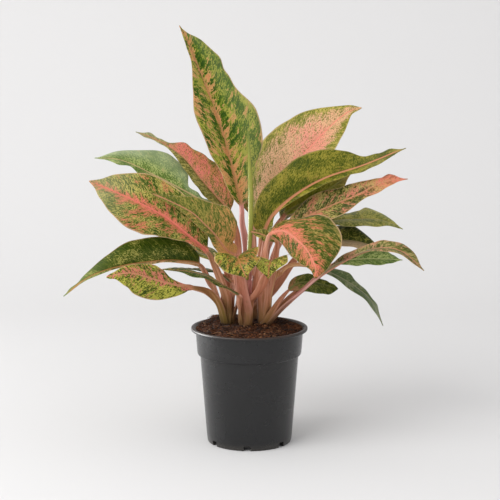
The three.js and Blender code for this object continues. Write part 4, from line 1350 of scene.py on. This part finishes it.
def buildPot():
    piece = bpy.data.objects.new("pot_shell", turnedMesh("pot_shell", potProfile(), potForm["turns"]))
    cutter = bpy.data.objects.new("drainCutters", drainCutters())
    for each in (piece, cutter):
        bpy.context.scene.collection.objects.link(each)
    cut = piece.modifiers.new("drains", "BOOLEAN")
    cut.operation = "DIFFERENCE"
    cut.solver = "EXACT"
    cut.object = cutter
    keepResult(piece, cut)
    bpy.data.objects.remove(cutter)
    tidyMesh(piece.data)
    piece.data.shade_smooth()
    piece.data.set_sharp_from_angle(angle=math.radians(potForm["sharpAngle"]))
    piece.data.materials.clear()
    piece.data.materials.append(potMaterial())
    settle(piece, "pot")
    print("pot turned")


buildPot()


# Potting mix: a lumpy crowned fill, covered with crumbs and coir fibres

soilForm = {
    "inset": 0.0003,
    "edgeHeight": 0.1275,
    "crownHeight": 0.1325,
    "edgeRounding": 0.001,
    "stepHeight": 0.0028,
    # each mound's place, height and reach
    "mounds": [(-0.030, 0.034, 0.006, 0.020), (0.024, 0.036, 0.001, 0.016), (-0.004, 0.008, 0.002, 0.018)],
    "rings": 44,
    "turns": 120,
    # how many there are, their smallest and largest scales, and how far they tilt
    "crumbs": {"count": 2600, "low": (0.35, 0.35, 0.25), "high": (1.25, 1.0, 0.8), "tilt": 0.7},
    "fibres": {"count": 1500, "low": (0.3, 0.4, 0.4), "high": (1.3, 1.5, 1.5), "tilt": 0.35},
    "fibrePoints": 7,
    "fibreRounds": 4,
    "sizes": {"lumpHeight": 0.0026, "crumbSize": 0.0021, "fibreLength": 0.011, "fibreRadius": 0.00026,
              "seed": 7},
}


def randomVector(tree, seed, low, high):
    node = addNode(tree, "FunctionNodeRandomValue", {"data_type": "FLOAT_VECTOR"}, Seed=seed)
    # the node has sockets for each kind of data: 0 and 1 are the least and the greatest vector
    node.inputs[0].default_value = low
    node.inputs[1].default_value = high
    return node.outputs[0]


def scatter(tree, fill, top, density, seed, copied, look):
    # copies on the fill's top, each turned, sized and toned at random
    spots = grow(tree, "DistributePointsOnFaces", Mesh=fill, Selection=top, Density=density, Seed=seed)
    tilt = look["tilt"]
    spin = randomVector(tree, seed + 3.0, (-tilt, -tilt, 0), (tilt, tilt, math.tau))
    size = randomVector(tree, seed + 5.0, look["low"], look["high"])
    copies = grow(tree, "InstanceOnPoints", Points=spots, Instance=copied, Rotation=spin, Scale=size)
    # output 1 is the number
    tone = addNode(tree, "FunctionNodeRandomValue", Seed=seed + 9.0).outputs[1]
    copies = grow(tree, "StoreNamedAttribute", {"data_type": "FLOAT", "domain": "INSTANCE"},
                  Geometry=copies, Name="tone", Value=tone)
    return grow(tree, "RealizeInstances", Geometry=copies)


def soilTree():
    densities = {"crumbDensity": 0.0, "fibreDensity": 0.0}
    tree, given, made = newGrowth("pottingMix", {**soilForm["sizes"], **densities})
    place = grow(tree, "InputPosition")
    lumps = noise(place, 120.0, 4, 0.6) - 0.5
    facingUp = grow(tree, "InputNormal").split()[2].ramp(0.5, 0.8)
    shift = joined(0.0, 0.0, lumps * given.lumpHeight * 4.0 * facingUp)
    fill = grow(tree, "SetPosition", Geometry=given.base, Offset=shift)
    top = facingUp.isOver(0.5)

    ball = grow(tree, "MeshIcoSphere", Radius=given.crumbSize, Subdivisions=2)
    push = noise(place, 1100.0, output=1).plus((-0.5, -0.5, -0.5))
    crumb = grow(tree, "SetPosition", Geometry=ball, Offset=(given.crumbSize * 1.6).along(push))
    crumbs = scatter(tree, fill, top, given.crumbDensity, given.seed, crumb, soilForm["crumbs"])

    line = grow(tree, "CurvePrimitiveLine", End=(1.0, 0.0, 0.0))
    line = grow(tree, "ResampleCurve", Curve=line, Count=soilForm["fibrePoints"])
    step = grow(tree, "SplineParameter")
    bend = (step * 5.0).sine() * given.fibreLength * 0.10
    arch = (step * math.pi).sine() * given.fibreLength * 0.12
    strand = joined((step - 0.5) * given.fibreLength, bend, arch)
    line = grow(tree, "SetPosition", Geometry=line, Position=strand)
    ring = grow(tree, "CurvePrimitiveCircle", Resolution=soilForm["fibreRounds"], Radius=given.fibreRadius)
    fibre = grow(tree, "CurveToMesh", Curve=line, Profile_Curve=ring, Fill_Caps=True)
    fibres = scatter(tree, fill, top, given.fibreDensity, given.seed + 40.0, fibre, soilForm["fibres"])

    together = addNode(tree, "GeometryNodeJoinGeometry")
    for part in (fibres, crumbs, fill):
        plug(tree, together.inputs[0], part)
    return finishGrowth(tree, made, together.outputs[0], given.material)


def soilMaterial():
    material, tree, _ = newMaterial("pottingMix")
    place = objectPlace(tree)
    tone, = readAttributes(tree, "tone")
    crumb = noise(place, 700.0, 4, 0.7)
    damp = noise(place, 60.0, 3).ramp(0.48, 0.62)
    mix = blend((crumb * 1.7 - 0.35).clamped(), tint(10, 4, 1), tint(92, 52, 28))
    mix = blend(tone.ramp(0.35, 0.9) * 0.75, mix, tint(110, 64, 34))
    mix = blend(tone.ramp(0.35, 0.05) * 0.8, mix, tint(20, 10, 5))
    mix = blend(tone.ramp(0.9, 0.96) * 0.6, mix, tint(150, 112, 80))
    mix = blend(damp * 0.55, mix, tint(24, 13, 8))
    return finishMaterial(material, mix, 0.92, crumb, strength=0.7, depth=0.0006, mirror=0.25)


def buildSoil():
    form, plan = soilForm, potPlan()
    clear = potForm["wall"] + form["inset"]
    floor = potForm["floorHeight"] + form["inset"]
    edge = plan.neck - clear
    profile = [(0, floor), (potForm["footRadius"] + plan.slope * floor - clear, floor),
               (potForm["shoulderRadius"] - clear, plan.collarFoot),
               (plan.collar - clear, plan.collarFoot + form["stepHeight"]),
               (edge, form["edgeHeight"] - form["edgeRounding"])]
    for i in range(form["rings"] + 1):
        share = 1 - i / form["rings"]
        rise = form["crownHeight"] - (form["crownHeight"] - form["edgeHeight"]) * share ** 3
        profile.append((edge * share, rise))
    mesh = turnedMesh("potting_mix", profile, form["turns"])
    for point in mesh.vertices:
        if point.co.z > form["edgeHeight"] - form["edgeRounding"] / 2:
            for x, y, height, reach in form["mounds"]:
                away = (point.co.xy - Vector((x, y))).length / reach
                point.co.z += height * math.exp(-away * away)
    area = math.pi * edge ** 2
    sizes = {"crumbDensity": form["crumbs"]["count"] / area, "fibreDensity": form["fibres"]["count"] / area}
    piece = growPiece("potting_mix", mesh, soilTree(), soilMaterial(), {**form["sizes"], **sizes})
    settle(piece, "soil")
    print("potting mix filled")


buildSoil()
